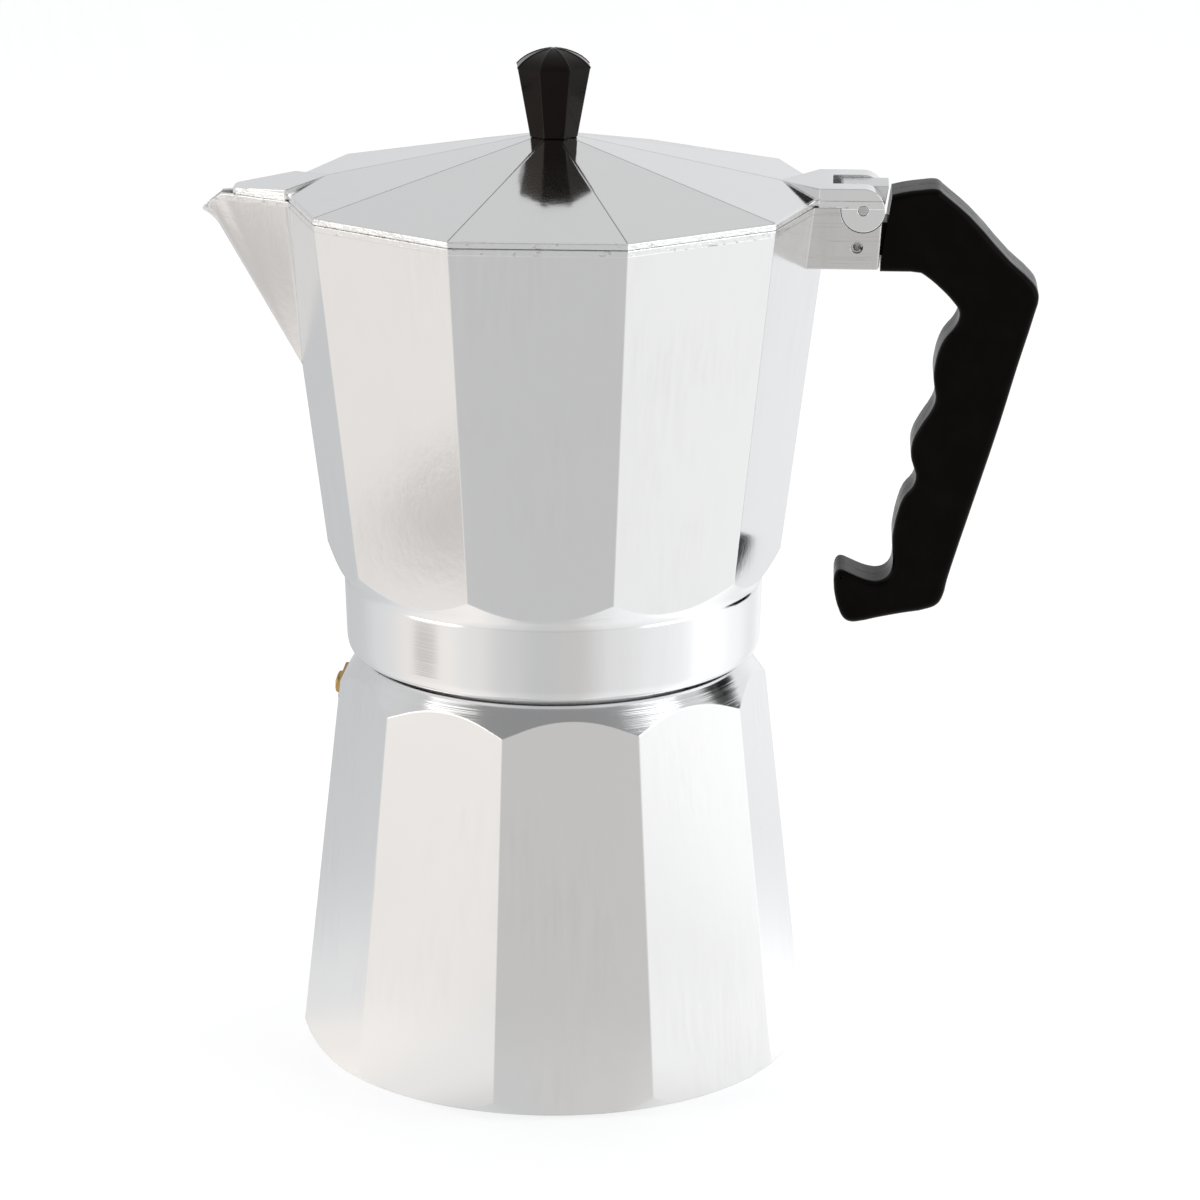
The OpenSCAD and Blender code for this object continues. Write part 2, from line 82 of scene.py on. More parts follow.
class NodeDesk:
    """Small helper that lays out the node tree of a material or a world."""

    def __init__(self, owner: bpy.types.ID, shader: str = "ShaderNodeBsdfPrincipled",
                 output: str = "ShaderNodeOutputMaterial") -> None:
        """Empty the tree and add the shader and the output.

        Args:
            owner: Material or world whose nodes are laid out.
            shader: Node type of its shader.
            output: Node type of its output.
        """
        owner.use_nodes = True
        self.tree = owner.node_tree
        self.tree.nodes.clear()
        self.shader = self.add(shader)
        self.join(self.shader.outputs[0], self.add(output).inputs[0])
        self.texture = self.add("ShaderNodeTexCoord")
        self.coords = self.texture.outputs["Object"]

    def add(self, kind: str, **props: object) -> bpy.types.Node:
        """Add a node and set its properties.

        Args:
            kind: Node type.
            **props: Properties of the node by name.

        Returns:
            The new node.
        """
        node = self.tree.nodes.new(kind)
        for key, value in props.items():
            setattr(node, key, value)
        return node

    def join(self, source: bpy.types.NodeSocket, target: bpy.types.NodeSocket) -> None:
        """Link an output to an input."""
        self.tree.links.new(source, target)

    def math(self, how: str, first: object, second: object = None) -> bpy.types.NodeSocket:
        """Add a Math node.

        Args:
            how: Operation of the node.
            first: Socket or number for its first input.
            second: Socket or number for its second input.

        Returns:
            The result socket.
        """
        node = self.add("ShaderNodeMath", operation=how)
        for index, value in enumerate((first, second)):
            if isinstance(value, bpy.types.NodeSocket):
                self.join(value, node.inputs[index])
            elif value is not None:
                node.inputs[index].default_value = value
        return node.outputs[0]

    def span(self, value: bpy.types.NodeSocket, low: float, high: float,
             to_low: float = 0.0, to_high: float = 1.0) -> bpy.types.NodeSocket:
        """Map a value smoothly from one range to another.

        Args:
            value: Socket to map.
            low: Start of the source range.
            high: End of the source range.
            to_low: Result at the start.
            to_high: Result at the end.

        Returns:
            The mapped socket.
        """
        node = self.add("ShaderNodeMapRange", interpolation_type="SMOOTHSTEP")
        self.join(value, node.inputs["Value"])
        for name, number in (("From Min", low), ("From Max", high),
                             ("To Min", to_low), ("To Max", to_high)):
            node.inputs[name].default_value = number
        return node.outputs["Result"]

    def stretched(self, scale: tuple[float, float, float]) -> bpy.types.NodeSocket:
        """Give the object coordinates scaled along each axis.

        Args:
            scale: Scale along X, Y and Z.

        Returns:
            The scaled vector socket.
        """
        node = self.add("ShaderNodeMapping")
        node.inputs["Scale"].default_value = scale
        self.join(self.coords, node.inputs["Vector"])
        return node.outputs["Vector"]

    def split(self, where: bpy.types.NodeSocket | None = None) -> bpy.types.NodeOutputs:
        """Split a vector into its parts.

        Args:
            where: Vector socket, or None for the object's own coordinates.

        Returns:
            The sockets, by the names X, Y and Z.
        """
        node = self.add("ShaderNodeSeparateXYZ")
        self.join(where or self.coords, node.inputs[0])
        return node.outputs

    def rings(self) -> bpy.types.NodeSocket:
        """Give coordinates that are the same all round the pot's axis.

        Returns:
            A vector socket holding radius and height.
        """
        parts = self.split()
        squares = self.math("ADD", self.math("POWER", parts["X"], 2.0),
                            self.math("POWER", parts["Y"], 2.0))
        combined = self.add("ShaderNodeCombineXYZ")
        self.join(self.math("SQRT", squares), combined.inputs["X"])
        self.join(parts["Z"], combined.inputs["Z"])
        return combined.outputs[0]

    def noise(self, scale: float, detail: float = 3.0, rough: float = 0.55,
              vector: bpy.types.NodeSocket | None = None) -> bpy.types.NodeSocket:
        """Add a Noise texture.

        Args:
            scale: Features per metre of its coordinates.
            detail: Octaves.
            rough: Roughness of the octaves.
            vector: Coordinates, or None for the object's own.

        Returns:
            The noise value socket.
        """
        node = self.add("ShaderNodeTexNoise")
        node.inputs["Scale"].default_value = scale
        node.inputs["Detail"].default_value = detail
        node.inputs["Roughness"].default_value = rough
        self.join(vector or self.coords, node.inputs["Vector"])
        return node.outputs["Fac"]

    def blend(self, factor: object, first: Colour, second: Colour) -> bpy.types.NodeSocket:
        """Mix two colours.

        Args:
            factor: Socket or number.
            first: Colour at 0.
            second: Colour at 1.

        Returns:
            The mixed colour socket.
        """
        node = self.add("ShaderNodeMix", data_type="RGBA")
        if isinstance(factor, bpy.types.NodeSocket):
            self.join(factor, node.inputs[0])
        else:
            node.inputs[0].default_value = factor
        node.inputs[6].default_value = (*first, 1.0)
        node.inputs[7].default_value = (*second, 1.0)
        return node.outputs[2]

    def bump(self, heights: list[tuple[bpy.types.NodeSocket, float]],
             soft: float = 0.0) -> None:
        """Chain bumps into the shader's normal.

        Args:
            heights: Height sockets, each with its depth in metres.
            soft: Radius in metres by which edges are rounded in the shading.
        """
        normal = None
        if soft > 0:
            node = self.add("ShaderNodeBevel", samples=6)
            node.inputs["Radius"].default_value = soft
            normal = node.outputs[0]
        for socket, depth in heights:
            node = self.add("ShaderNodeBump")
            node.inputs["Distance"].default_value = depth
            node.inputs["Strength"].default_value = 1.0
            self.join(socket, node.inputs["Height"])
            if normal:
                self.join(normal, node.inputs["Normal"])
            normal = node.outputs[0]
        if normal:
            self.join(normal, self.shader.inputs["Normal"])


@dataclass(frozen=True)
class Finish:
    """A named surface finish that makes its material once."""

    name: str
    colour: Colour
    rough: float

    def material(self) -> bpy.types.Material:
        """Give the finish's material, making it the first time.

        Returns:
            The material.
        """
        found = bpy.data.materials.get(self.name)
        if found is None:
            found = bpy.data.materials.new(self.name)
            self.lay_out(NodeDesk(found))
            found.diffuse_color = (*self.colour, 1.0)
        return found

    def lay_out(self, desk: NodeDesk) -> None:
        """Lay out the node tree; each kind of finish has its own."""
        raise NotImplementedError


@dataclass(frozen=True)
class Metal(Finish):
    """Aluminium, brass or steel with the marks of how it was worked."""

    grain: Grain = Grain.PLAIN
    stain: Colour = (0.55, 0.53, 0.50)
    stained: float = 0.12
    depth: float = 0.00004
    soft: float = 0.0003
    rim: tuple[float, float] = (9.0, 9.1)

    def lay_out(self, desk: NodeDesk) -> None:
        """Lay out the metal's colour, roughness and marks.

        Args:
            desk: Desk of the material.
        """
        shader = desk.shader
        shader.inputs["Metallic"].default_value = 1.0
        cloud = desk.noise(28.0, 4.0)
        streak = desk.noise(45.0, 3.0, 0.6, desk.stretched((9.0, 9.0, 1.0)))
        smudge = desk.math("MULTIPLY", desk.span(cloud, 0.42, 0.7), desk.span(streak, 0.3, 0.75))
        patch = desk.math("MULTIPLY", smudge, self.stained)
        height, fade = desk.split()["Z"], 0.0003
        band = desk.math("MULTIPLY", desk.span(height, self.rim[0] - fade, self.rim[0]),
                         desk.span(height, self.rim[1], self.rim[1] + fade, 1.0, 0.0))
        spots = desk.noise(310.0, 3.0, 0.7, desk.stretched((1.0, 1.0, 2.2)))
        burr = desk.math("MULTIPLY", band, desk.span(spots, 0.57, 0.66, 0.0, 0.6))
        patch = desk.math("MAXIMUM", patch, burr)
        fine = desk.noise(1400.0, 2.0)
        rough = desk.math("ADD", desk.span(cloud, 0.3, 0.7, -0.025, 0.035), self.rough)
        if self.grain is Grain.SATIN:
            strokes = desk.noise(60.0, 2.0, vector=desk.stretched((14.0, 14.0, 1.0)))
            bumps = [(cloud, 0.00013), (strokes, 0.000004), (desk.noise(620.0, 2.0), 0.000011),
                     (fine, 0.000006)]
        elif self.grain is Grain.RAW:
            bumps = [(desk.noise(420.0, 4.0, 0.7), 0.00022), (fine, 0.00003)]
        elif self.grain is Grain.TURNED:
            bumps = [(desk.noise(1900.0, 2.0, vector=desk.rings()), self.depth)]
        elif self.grain is Grain.FILED:
            marks = desk.noise(55.0, 3.0, 0.7, desk.stretched((1.0, 40.0, 40.0)))
            patch = desk.math("MAXIMUM", patch, desk.span(marks, 0.5, 0.78, 0.0, 0.38))
            bumps = [(marks, 0.00008),
                     (desk.noise(40.0, 3.0, 0.7, desk.stretched((30.0, 1.0, 1.5))), 0.00003)]
        elif self.grain is Grain.MIRROR:
            bumps = [(cloud, 0.0001), (desk.noise(900.0, 2.0), 0.000004)]
        else:
            bumps = [(fine, 0.00001)]
        if self.rim[0] < 1:
            bumps.append((desk.math("MULTIPLY", band, spots), 0.00022))
        desk.join(desk.blend(patch, self.colour, self.stain), shader.inputs["Base Color"])
        desk.join(rough, shader.inputs["Roughness"])
        desk.bump(bumps, self.soft)


@dataclass(frozen=True)
class Phenolic(Finish):
    """Black moulded plastic with a faint grain and a parting line."""

    seam: bool = False
    shine: float = 0.5

    def lay_out(self, desk: NodeDesk) -> None:
        """Lay out the moulded colour, gloss and seam.

        Args:
            desk: Desk of the material.
        """
        shader = desk.shader
        cloud = desk.noise(140.0, 4.0)
        desk.join(desk.blend(desk.span(cloud, 0.4, 0.75, 0.0, 0.6), self.colour,
                             tuple(channel * 1.9 for channel in self.colour)),
                  shader.inputs["Base Color"])
        dust = desk.noise(2200.0, 2.0)
        desk.join(desk.math("ADD", desk.span(cloud, 0.3, 0.75, -0.03, 0.07), self.rough),
                  shader.inputs["Roughness"])
        shader.inputs["Specular IOR Level"].default_value = self.shine
        shader.inputs["Specular Tint"].default_value = (1.0, 0.82, 0.74, 1.0)
        bumps = [(cloud, 0.00006), (dust, 0.000004)]
        if self.seam:
            off = desk.math("ABSOLUTE", desk.split()["Y"])
            bumps.append((desk.span(off, 0.0001, 0.0003, 1.0, 0.0), 0.00012))
        desk.bump(bumps, 0.0003)


@dataclass(frozen=True)
class Silicone(Finish):
    """Soft white sealing rubber."""

    def lay_out(self, desk: NodeDesk) -> None:
        """Lay out the rubber's milky colour.

        Args:
            desk: Desk of the material.
        """
        shader = desk.shader
        cloud = desk.noise(120.0, 3.0)
        shade = desk.span(cloud, 0.4, 0.7, 0.0, 0.35)
        desk.join(desk.blend(shade, self.colour, (0.78, 0.74, 0.64)), shader.inputs["Base Color"])
        shader.inputs["Roughness"].default_value = self.rough
        shader.inputs["Subsurface Weight"].default_value = 0.15
        shader.inputs["Subsurface Radius"].default_value = (0.002, 0.0015, 0.001)
        shader.inputs["Subsurface Scale"].default_value = 1.0
        desk.bump([(desk.noise(1500.0, 2.0), 0.00002)])


WALL_METAL = Metal("polished_casting", (0.86, 0.862, 0.868), 0.13, Grain.SATIN, soft=0.0005,
                   rim=(0.2206, 0.2221))
FILED_METAL = Metal("filed_bracket", (0.74, 0.735, 0.725), 0.24, Grain.FILED,
                    stain=(0.36, 0.34, 0.31), stained=0.15, soft=0.0003)
SHOULDER_METAL = Metal("turned_shoulder", (0.85, 0.855, 0.865), 0.15, Grain.TURNED, stained=0.1,
                       depth=0.00007, soft=0.0004)
COLLAR_METAL = Metal("turned_collar", (0.87, 0.875, 0.885), 0.14, Grain.TURNED, stained=0.06,
                     depth=0.000025, soft=0.0004)
RAW_METAL = Metal("raw_casting", (0.66, 0.66, 0.655), 0.42, Grain.RAW, stained=0.35)
LID_METAL = Metal("buffed_lid", (0.88, 0.885, 0.89), 0.08, Grain.MIRROR, stained=0.05,
                  soft=0.0004, rim=(0.2219, 0.2236))
# Dark grey on the lid's crease strips is painted shade along the ten creases.
CREASE_PAINTED_SHADE = Metal("lid_crease_painted_shade", (0.36, 0.355, 0.35), 0.30, Grain.PLAIN, stain=(0.2, 0.19, 0.18),
                     stained=0.5)
MACHINED_METAL = Metal("machined_aluminium", (0.78, 0.785, 0.79), 0.27, Grain.TURNED, stained=0.08)
SPUN_METAL = Metal("spun_aluminium", (0.83, 0.83, 0.835), 0.25, Grain.TURNED, stained=0.1)
BRASS = Metal("valve_brass", (0.52, 0.34, 0.13), 0.28, Grain.TURNED, stain=(0.13, 0.075, 0.03),
              stained=0.9)
STEEL = Metal("pin_steel", (0.60, 0.60, 0.61), 0.24, Grain.PLAIN, stain=(0.40, 0.33, 0.25),
              stained=0.25)
HANDLE_BLACK = Phenolic("handle_phenolic", (0.002, 0.0019, 0.0019), 0.22, seam=True, shine=0.055)
KNOB_BLACK = Phenolic("knob_phenolic", (0.0020, 0.0017, 0.0016), 0.10, shine=0.17)
SEAL_WHITE = Silicone("seal_silicone", (0.88, 0.87, 0.83), 0.48)


# ---------------------------------------------------------------- shaping


def turned(section: Section, steps: int = 192, closed: bool = False) -> bmesh.types.BMesh:
    """Turn a half section about the pot's axis.

    Args:
        section: Radius and height of each point.
        steps: Divisions round the axis; a small number gives flat sides.
        closed: Whether the last point joins the first.

    Returns:
        The turned solid.
    """
    bm = bmesh.new()
    verts = [bm.verts.new((r, 0.0, z)) for r, z in section]
    edges = [bm.edges.new(pair) for pair in zip(verts, verts[1:])]
    if closed:
        edges.append(bm.edges.new((verts[-1], verts[0])))
    bmesh.ops.spin(bm, geom=verts + edges, cent=(0, 0, 0), axis=(0, 0, 1), dvec=(0, 0, 0),
                   angle=math.tau, steps=steps, use_merge=True, use_duplicate=False)
    return tidy(bm)


def tidy(bm: bmesh.types.BMesh) -> bmesh.types.BMesh:
    """Merge doubles, drop loose edges and turn every face outwards.

    Args:
        bm: Shape to tidy.

    Returns:
        The same shape.
    """
    bmesh.ops.remove_doubles(bm, verts=bm.verts[:], dist=1e-4)
    loose = [edge for edge in bm.edges if not edge.link_faces]
    bmesh.ops.delete(bm, geom=loose, context="EDGES")
    bmesh.ops.recalc_face_normals(bm, faces=bm.faces[:])
    return bm


def slab(profile: Section, width: float) -> bmesh.types.BMesh:
    """Make a side profile into a solid, centred on the middle plane.

    Args:
        profile: Points as reach along X and height.
        width: Thickness along Y.

    Returns:
        The solid.
    """
    bm = bmesh.new()
    face = bm.faces.new([bm.verts.new((x, -width / 2, z)) for x, z in profile])
    raised = bmesh.ops.extrude_face_region(bm, geom=[face])
    moved = [item for item in raised["geom"] if isinstance(item, bmesh.types.BMVert)]
    bmesh.ops.translate(bm, verts=moved, vec=(0, width, 0))
    return tidy(bm)


def bar(x: float, z: float, radius: float, length: float, y: float = 0.0,
        steps: int = 64) -> bmesh.types.BMesh:
    """Make a round bar along Y.

    Args:
        x: Reach of its middle.
        z: Height of its middle.
        radius: Radius of the bar.
        length: Length along Y.
        y: Place of its middle along Y.
        steps: Divisions round it.

    Returns:
        The bar.
    """
    bm = bmesh.new()
    place = Matrix.Translation((x, y, z)) @ Matrix.Rotation(math.pi / 2, 4, "X")
    bmesh.ops.create_cone(bm, cap_ends=True, segments=steps, radius1=radius, radius2=radius,
                          depth=length, matrix=place)
    return tidy(bm)


def rod(radius: float, low: float, high: float, steps: int = 48) -> bmesh.types.BMesh:
    """Make a round rod along the axis."""
    return turned([(0, low), (radius, low), (radius, high), (0, high)], steps)


def trim(bm: bmesh.types.BMesh, point: Vector, normal: Vector, slot: int = 0) -> None:
    """Cut a solid with a plane, drop what is outside it and close the cut.

    Args:
        bm: Solid to cut.
        point: A point of the plane.
        normal: Direction that is dropped.
        slot: Which of the piece's finishes the new flat gets.
    """
    geom = bm.verts[:] + bm.edges[:] + bm.faces[:]
    cut = bmesh.ops.bisect_plane(bm, geom=geom, dist=1e-5, plane_co=point, plane_no=normal,
                                 clear_outer=True)
    edges = [item for item in cut["geom_cut"] if isinstance(item, bmesh.types.BMEdge)]
    if edges:
        bmesh.ops.edgeloop_fill(bm, edges=edges, mat_nr=slot)


def trim_plan(bm: bmesh.types.BMesh, plan: Section) -> None:
    """Trim a solid to a line of plan points on both sides of the middle plane.

    Args:
        bm: Solid to trim.
        plan: X and half width of each point, in order.
    """
    for (x0, y0), (x1, y1) in zip(plan, plan[1:]):
        along = Vector((x1 - x0, y1 - y0, 0))
        for side in (1, -1):
            out = Vector((-along.y, along.x, 0)).normalized()
            middle = Vector(((x0 + x1) / 2, (y0 + y1) / 2, 0))
            if out.y < 0:
                out.negate()
            trim(bm, Vector((middle.x, side * middle.y, 0)), Vector((out.x, side * out.y, 0)))


def soften(bm: bmesh.types.BMesh, edges: list[bmesh.types.BMEdge], width: float,
           segments: int = 3) -> list[bmesh.types.BMFace]:
    """Round a set of edges.

    Args:
        bm: Solid that the edges belong to.
        edges: Edges to round.
        width: Width of the rounding.
        segments: Steps across it.

    Returns:
        The new faces.
    """
    done = bmesh.ops.bevel(bm, geom=edges, offset=width, offset_type="OFFSET", segments=segments,
                           profile=0.5, affect="EDGES", clamp_overlap=True, material=-1)
    return done["faces"]


def folded(bm: bmesh.types.BMesh, angle: float) -> list[bmesh.types.BMEdge]:
    """Find the edges whose two faces meet at more than an angle in degrees."""
    return [edge for edge in bm.edges
            if len(edge.link_faces) == 2 and edge.calc_face_angle(0.0) > math.radians(angle)]


def helix(section: Section, pitch: float, turns: float, steps: int = 96) -> bmesh.types.BMesh:
    """Wind a small closed section into a thread.

    Args:
        section: Radius and height of the thread's cross-section at its start.
        pitch: Rise in each turn.
        turns: Number of turns.
        steps: Divisions in each turn.

    Returns:
        The closed thread.
    """
    bm = bmesh.new()
    face = bm.faces.new([bm.verts.new((r, 0.0, z)) for r, z in section])
    count = int(turns * steps)
    bmesh.ops.spin(bm, geom=[face], cent=(0, 0, 0), axis=(0, 0, 1),
                   dvec=(0, 0, pitch * turns / count), angle=math.tau * turns, steps=count,
                   use_merge=False, use_duplicate=False)
    return tidy(bm)


def linked(name: str, data: bpy.types.ID) -> bpy.types.Object:
    """Make an object and put it in the scene.

    Args:
        name: Name of the object.
        data: Its mesh, curve, camera or light.

    Returns:
        The object.
    """
    obj = bpy.data.objects.new(name, data)
    bpy.context.scene.collection.objects.link(obj)
    return obj


@dataclass(frozen=True)
class FlatSides:
    """Leaning flat sides round the axis, given by the lines of their corners."""

    radius: float
    level: float
    lean: float
    turn: float = 0.0
    count: int = 10

    @property
    def ratio(self) -> float:
        """Distance to a flat over distance to a corner."""
        return math.cos(math.pi / self.count)

    def corner(self, z: float) -> float:
        """Corner radius at a height."""
        return self.radius + self.lean * (z - self.level)

    def shrunk(self, wall: float) -> "FlatSides":
        """The same sides set in by a wall's thickness."""
        return FlatSides(self.radius - wall / self.ratio, self.level, self.lean, self.turn,
                         self.count)

    def shape(self, bm: bmesh.types.BMesh, slot: int = 0) -> bmesh.types.BMesh:
        """Cut every flat on a turned solid.

        Args:
            bm: Solid to cut.
            slot: Which of the piece's finishes the flats get.

        Returns:
            The same solid.
        """
        for index in range(self.count):
            heading = math.radians(self.turn + 360 / self.count * (index + 0.5))
            out = Vector((math.cos(heading), math.sin(heading), 0))
            point = out * self.radius * self.ratio + Vector((0, 0, self.level))
            normal = (out - Vector((0, 0, self.lean * self.ratio))).normalized()
            trim(bm, point, normal, slot)
        return bm

    def corner_edges(self, bm: bmesh.types.BMesh) -> list[bmesh.types.BMEdge]:
        """Find the long edges that run up the corners.

        Args:
            bm: Solid with its flats cut.

        Returns:
            The corner edges.
        """
        found = []
        for edge in bm.edges:
            ends = [vert.co for vert in edge.verts]
            off = max(abs(Vector((co.x, co.y)).length - self.corner(co.z)) for co in ends)
            if off < 0.05 and abs(ends[0].z - ends[1].z) > 0.8:
                found.append(edge)
        return found


class Piece:
    """One visible piece on its way from raw shape to its place on the frame."""

    def __init__(self, name: str, bm: bmesh.types.BMesh, *finishes: Finish) -> None:
        """Make the piece's object from a raw shape.

        Args:
            name: Name of the piece.
            bm: Its raw shape in millimetres; freed here.
            *finishes: Its finishes, by slot.
        """
        self.obj = self.hold(name, bm, *finishes)

    @staticmethod
    def hold(name: str, bm: bmesh.types.BMesh, *finishes: Finish) -> bpy.types.Object:
        """Put a shape in an object of its own.

        Args:
            name: Name of the object.
            bm: Shape in millimetres; freed here.
            *finishes: Its finishes, by slot.

        Returns:
            The object, in metres.
        """
        mesh = bpy.data.meshes.new(name)
        bmesh.ops.scale(bm, vec=(MM, MM, MM), verts=bm.verts[:])
        bm.to_mesh(mesh)
        bm.free()
        for finish in finishes:
            mesh.materials.append(finish.material())
        return linked(name, mesh)

    def bake(self) -> None:
        """Apply the modifiers to the mesh."""
        graph = bpy.context.evaluated_depsgraph_get()
        mesh = bpy.data.meshes.new_from_object(self.obj.evaluated_get(graph))
        old, self.obj.data = self.obj.data, mesh
        self.obj.modifiers.clear()
        bpy.data.meshes.remove(old)

    def combine(self, how: str, tool: bmesh.types.BMesh, finish: Finish) -> "Piece":
        """Join or cut with another shape.

        Args:
            how: UNION or DIFFERENCE.
            tool: The other shape; freed here.
            finish: Finish of the faces it leaves.

        Returns:
            The piece itself.
        """
        other = self.hold("tool", tool, finish)
        step = self.obj.modifiers.new("combine", "BOOLEAN")
        step.object, step.operation, step.solver = other, how, "EXACT"
        step.material_mode = "TRANSFER"
        self.bake()
        mesh = other.data
        bpy.data.objects.remove(other)
        bpy.data.meshes.remove(mesh)
        return self

    def plus(self, tool: bmesh.types.BMesh, finish: Finish) -> "Piece":
        """Join another shape on."""
        return self.combine("UNION", tool, finish)

    def minus(self, tool: bmesh.types.BMesh, finish: Finish) -> "Piece":
        """Take another shape off."""
        return self.combine("DIFFERENCE", tool, finish)

    def rounded(self, width: float, segments: int = 2, angle: float = 30.0) -> "Piece":
        """Round the piece's sharp edges with a live modifier.

        Args:
            width: Width of the rounding in millimetres.
            segments: Steps across it.
            angle: Edges that fold more than this, in degrees, are rounded.

        Returns:
            The piece itself.
        """
        step = self.obj.modifiers.new("round", "BEVEL")
        step.width, step.segments = width * MM, segments
        step.limit_method, step.angle_limit = "ANGLE", math.radians(angle)
        step.harden_normals = False
        return self

    def fit(self, body: str, *nodes: str, slot: str, sharp: float = 24.0) -> bpy.types.Object:
        """Shade the piece and put it on its body of the frame.

        Args:
            body: Body that it rides on.
            *nodes: Frame parts that it stands for.
            slot: Material slot of the record; not used.
            sharp: Edges that fold more than this, in degrees, stay crisp.

        Returns:
            The finished object.
        """
        mesh = self.obj.data
        mesh.shade_smooth()
        mesh.set_sharp_from_angle(angle=math.radians(sharp))
        step = self.obj.modifiers.new("weigh", "WEIGHTED_NORMAL")
        step.keep_sharp = True
        step.weight = 50
        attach(self.obj, body)
        if nodes:
            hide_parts(*nodes)
        LOG.info("%s: %d faces, rides on %s", self.obj.name, len(mesh.polygons), body)
        return self.obj


# ---------------------------------------------------------------- sub-assemblies


@dataclass
class Boiler:
    """Faceted water vessel with its turned shoulder, neck and thread."""

    sides: FlatSides = field(default_factory=lambda: FlatSides(65.0, 5.0, -0.112, 8.0))
    land: float = 104.0
    neck: float = 46.6
    bore: float = 41.5

    def build(self) -> None:
        """Make the shell and its thread."""
        bm = turned([(0, 0.0), (57.5, 0.0), (60.0, 0.12), (61.6, 0.55), (62.8, 1.25), (64.0, 2.6),
                     (65.0, 4.6), (65.7, 6.8), (66.5, 10.0), (66.5, 81.6), (54.9, 96.4),
                     (53.6, 97.9), (50.1, 102.7), (49.6, 103.4), (49.1, 103.9), (48.6, 104.0),
                     (45.6, 104.0), (45.6, 114.1), (45.2, 114.5), (0, 114.5)])
        self.sides.shape(bm, 1)
        soften(bm, self.sides.corner_edges(bm), CORNER_ROUND, 4)
        shell = Piece("boiler_shell", tidy(bm), SHOULDER_METAL, WALL_METAL)
        inner = [self.sides.corner(z) * self.sides.ratio - 4.0 for z in (5, 7, 11, 93)]
        shell.minus(turned([(0, 5), (inner[0] - 6, 5), (inner[1] - 3.4, 5.7), (inner[1] - 1.6, 7),
                            (inner[2] - 0.3, 9), (inner[2], 11), (inner[3], 94),
                            (self.bore + 1.5, 100), (self.bore, 102.4), (self.bore, 113.7),
                            (self.bore + 0.8, 114.6), (self.bore + 0.8, 116), (0, 116)], 128),
                    RAW_METAL)
        shell.minus(Valve().seated(rod(5.0, -16, 16)), RAW_METAL)
        shell.fit("boiler", "boiler", slot="cast_aluminium")
        root = self.neck - 1.0
        start = self.land + 1.1
        thread = helix([(root - 0.4, start), (root, start), (self.neck, start + 0.75),
                        (self.neck, start + 1.05), (root, start + 1.8), (root - 0.4, start + 1.8)],
                       THREAD_PITCH, 1.9)
        Piece("boiler_thread", thread, MACHINED_METAL).fit("boiler", slot="cast_aluminium")


@dataclass
class Valve:
    """Brass safety valve on the middle of one flat, under the shoulder."""

    turn: float = 170.0
    reach: float = 52.71
    height: float = 90.5
    tilt: float = 6.08
    spring_keep: float = 0.83

    @property
    def place(self) -> Matrix:
        """Where the valve sits: its +Z points out of the flat."""
        return (Matrix.Rotation(math.radians(self.turn), 4, "Z")
                @ Matrix.Translation((self.reach, 0, self.height))
                @ Matrix.Rotation(math.radians(90 - self.tilt), 4, "Y"))

    def seated(self, bm: bmesh.types.BMesh) -> bmesh.types.BMesh:
        """Move a shape made along +Z to the valve's axis."""
        bmesh.ops.transform(bm, matrix=self.place, verts=bm.verts[:])
        return bm

    def build(self) -> None:
        """Make the hexagon body and the pin, and dress the parts kept from the frame."""
        core = turned([(3.0, -8.5), (4.6, -8.5), (4.98, -8.1), (4.98, 0.1), (4.6, 0.6), (4.6, 3.1),
                       (2.9, 3.1), (2.9, 4.3), (2.75, 4.65), (2.4, 4.8), (1.15, 4.8), (1.15, 3.0),
                       (3.0, 3.0)], 48, closed=True)
        body = Piece("valve_hexagon", self.seated(core), BRASS)
        nut = turned([(3.6, 0.64), (5.45, 0.64), (5.6, 0.8), (5.6, 3.0), (5.2, 3.24), (3.6, 3.24)],
                     6, closed=True)
        body.plus(self.seated(nut), BRASS)
        body.rounded(0.12, 2, 28).fit("boiler", "valve_body", slot="brass")
        head = -6.45
        pin = turned([(0, head), (2.45, head), (2.7, head + 0.25), (2.7, head + 1.2),
                      (2.5, head + 1.4), (1.1, head + 1.4), (1.1, 4.9), (0.8, 5.25), (0, 5.3)], 32)
        Piece("valve_stem", self.seated(pin), STEEL).fit("valve_pin", "valve_pin", slot="steel")
        self.spring()
        for node, finish in (("valve_washer", STEEL), ("valve_seat", BRASS)):
            dress(node, finish)

    def spring(self) -> None:
        """Wind the spring."""
        wire, coil, low, high, turns = 0.3, 2.2, -4.4, 2.65, 6
        section = [(coil + wire * math.cos(math.tau * step / 8),
                    low + wire * math.sin(math.tau * step / 8)) for step in range(8)]
        winding = helix(section, (high - low) / turns, turns, 24)
        obj = Piece("valve_coil", self.seated(winding), STEEL).fit("boiler", "valve_spring",
                                                                  slot="steel", sharp=60)
        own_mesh(obj)


def dress(node: str, finish: Finish) -> None:
    """Give a part kept from the frame a finish.

    Args:
        node: Name of the part.
        finish: Its finish.
    """
    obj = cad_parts[node]
    obj.data.materials.clear()
    obj.data.materials.append(finish.material())
    LOG.info("%s: kept from the frame, dressed in %s", node, finish.name)


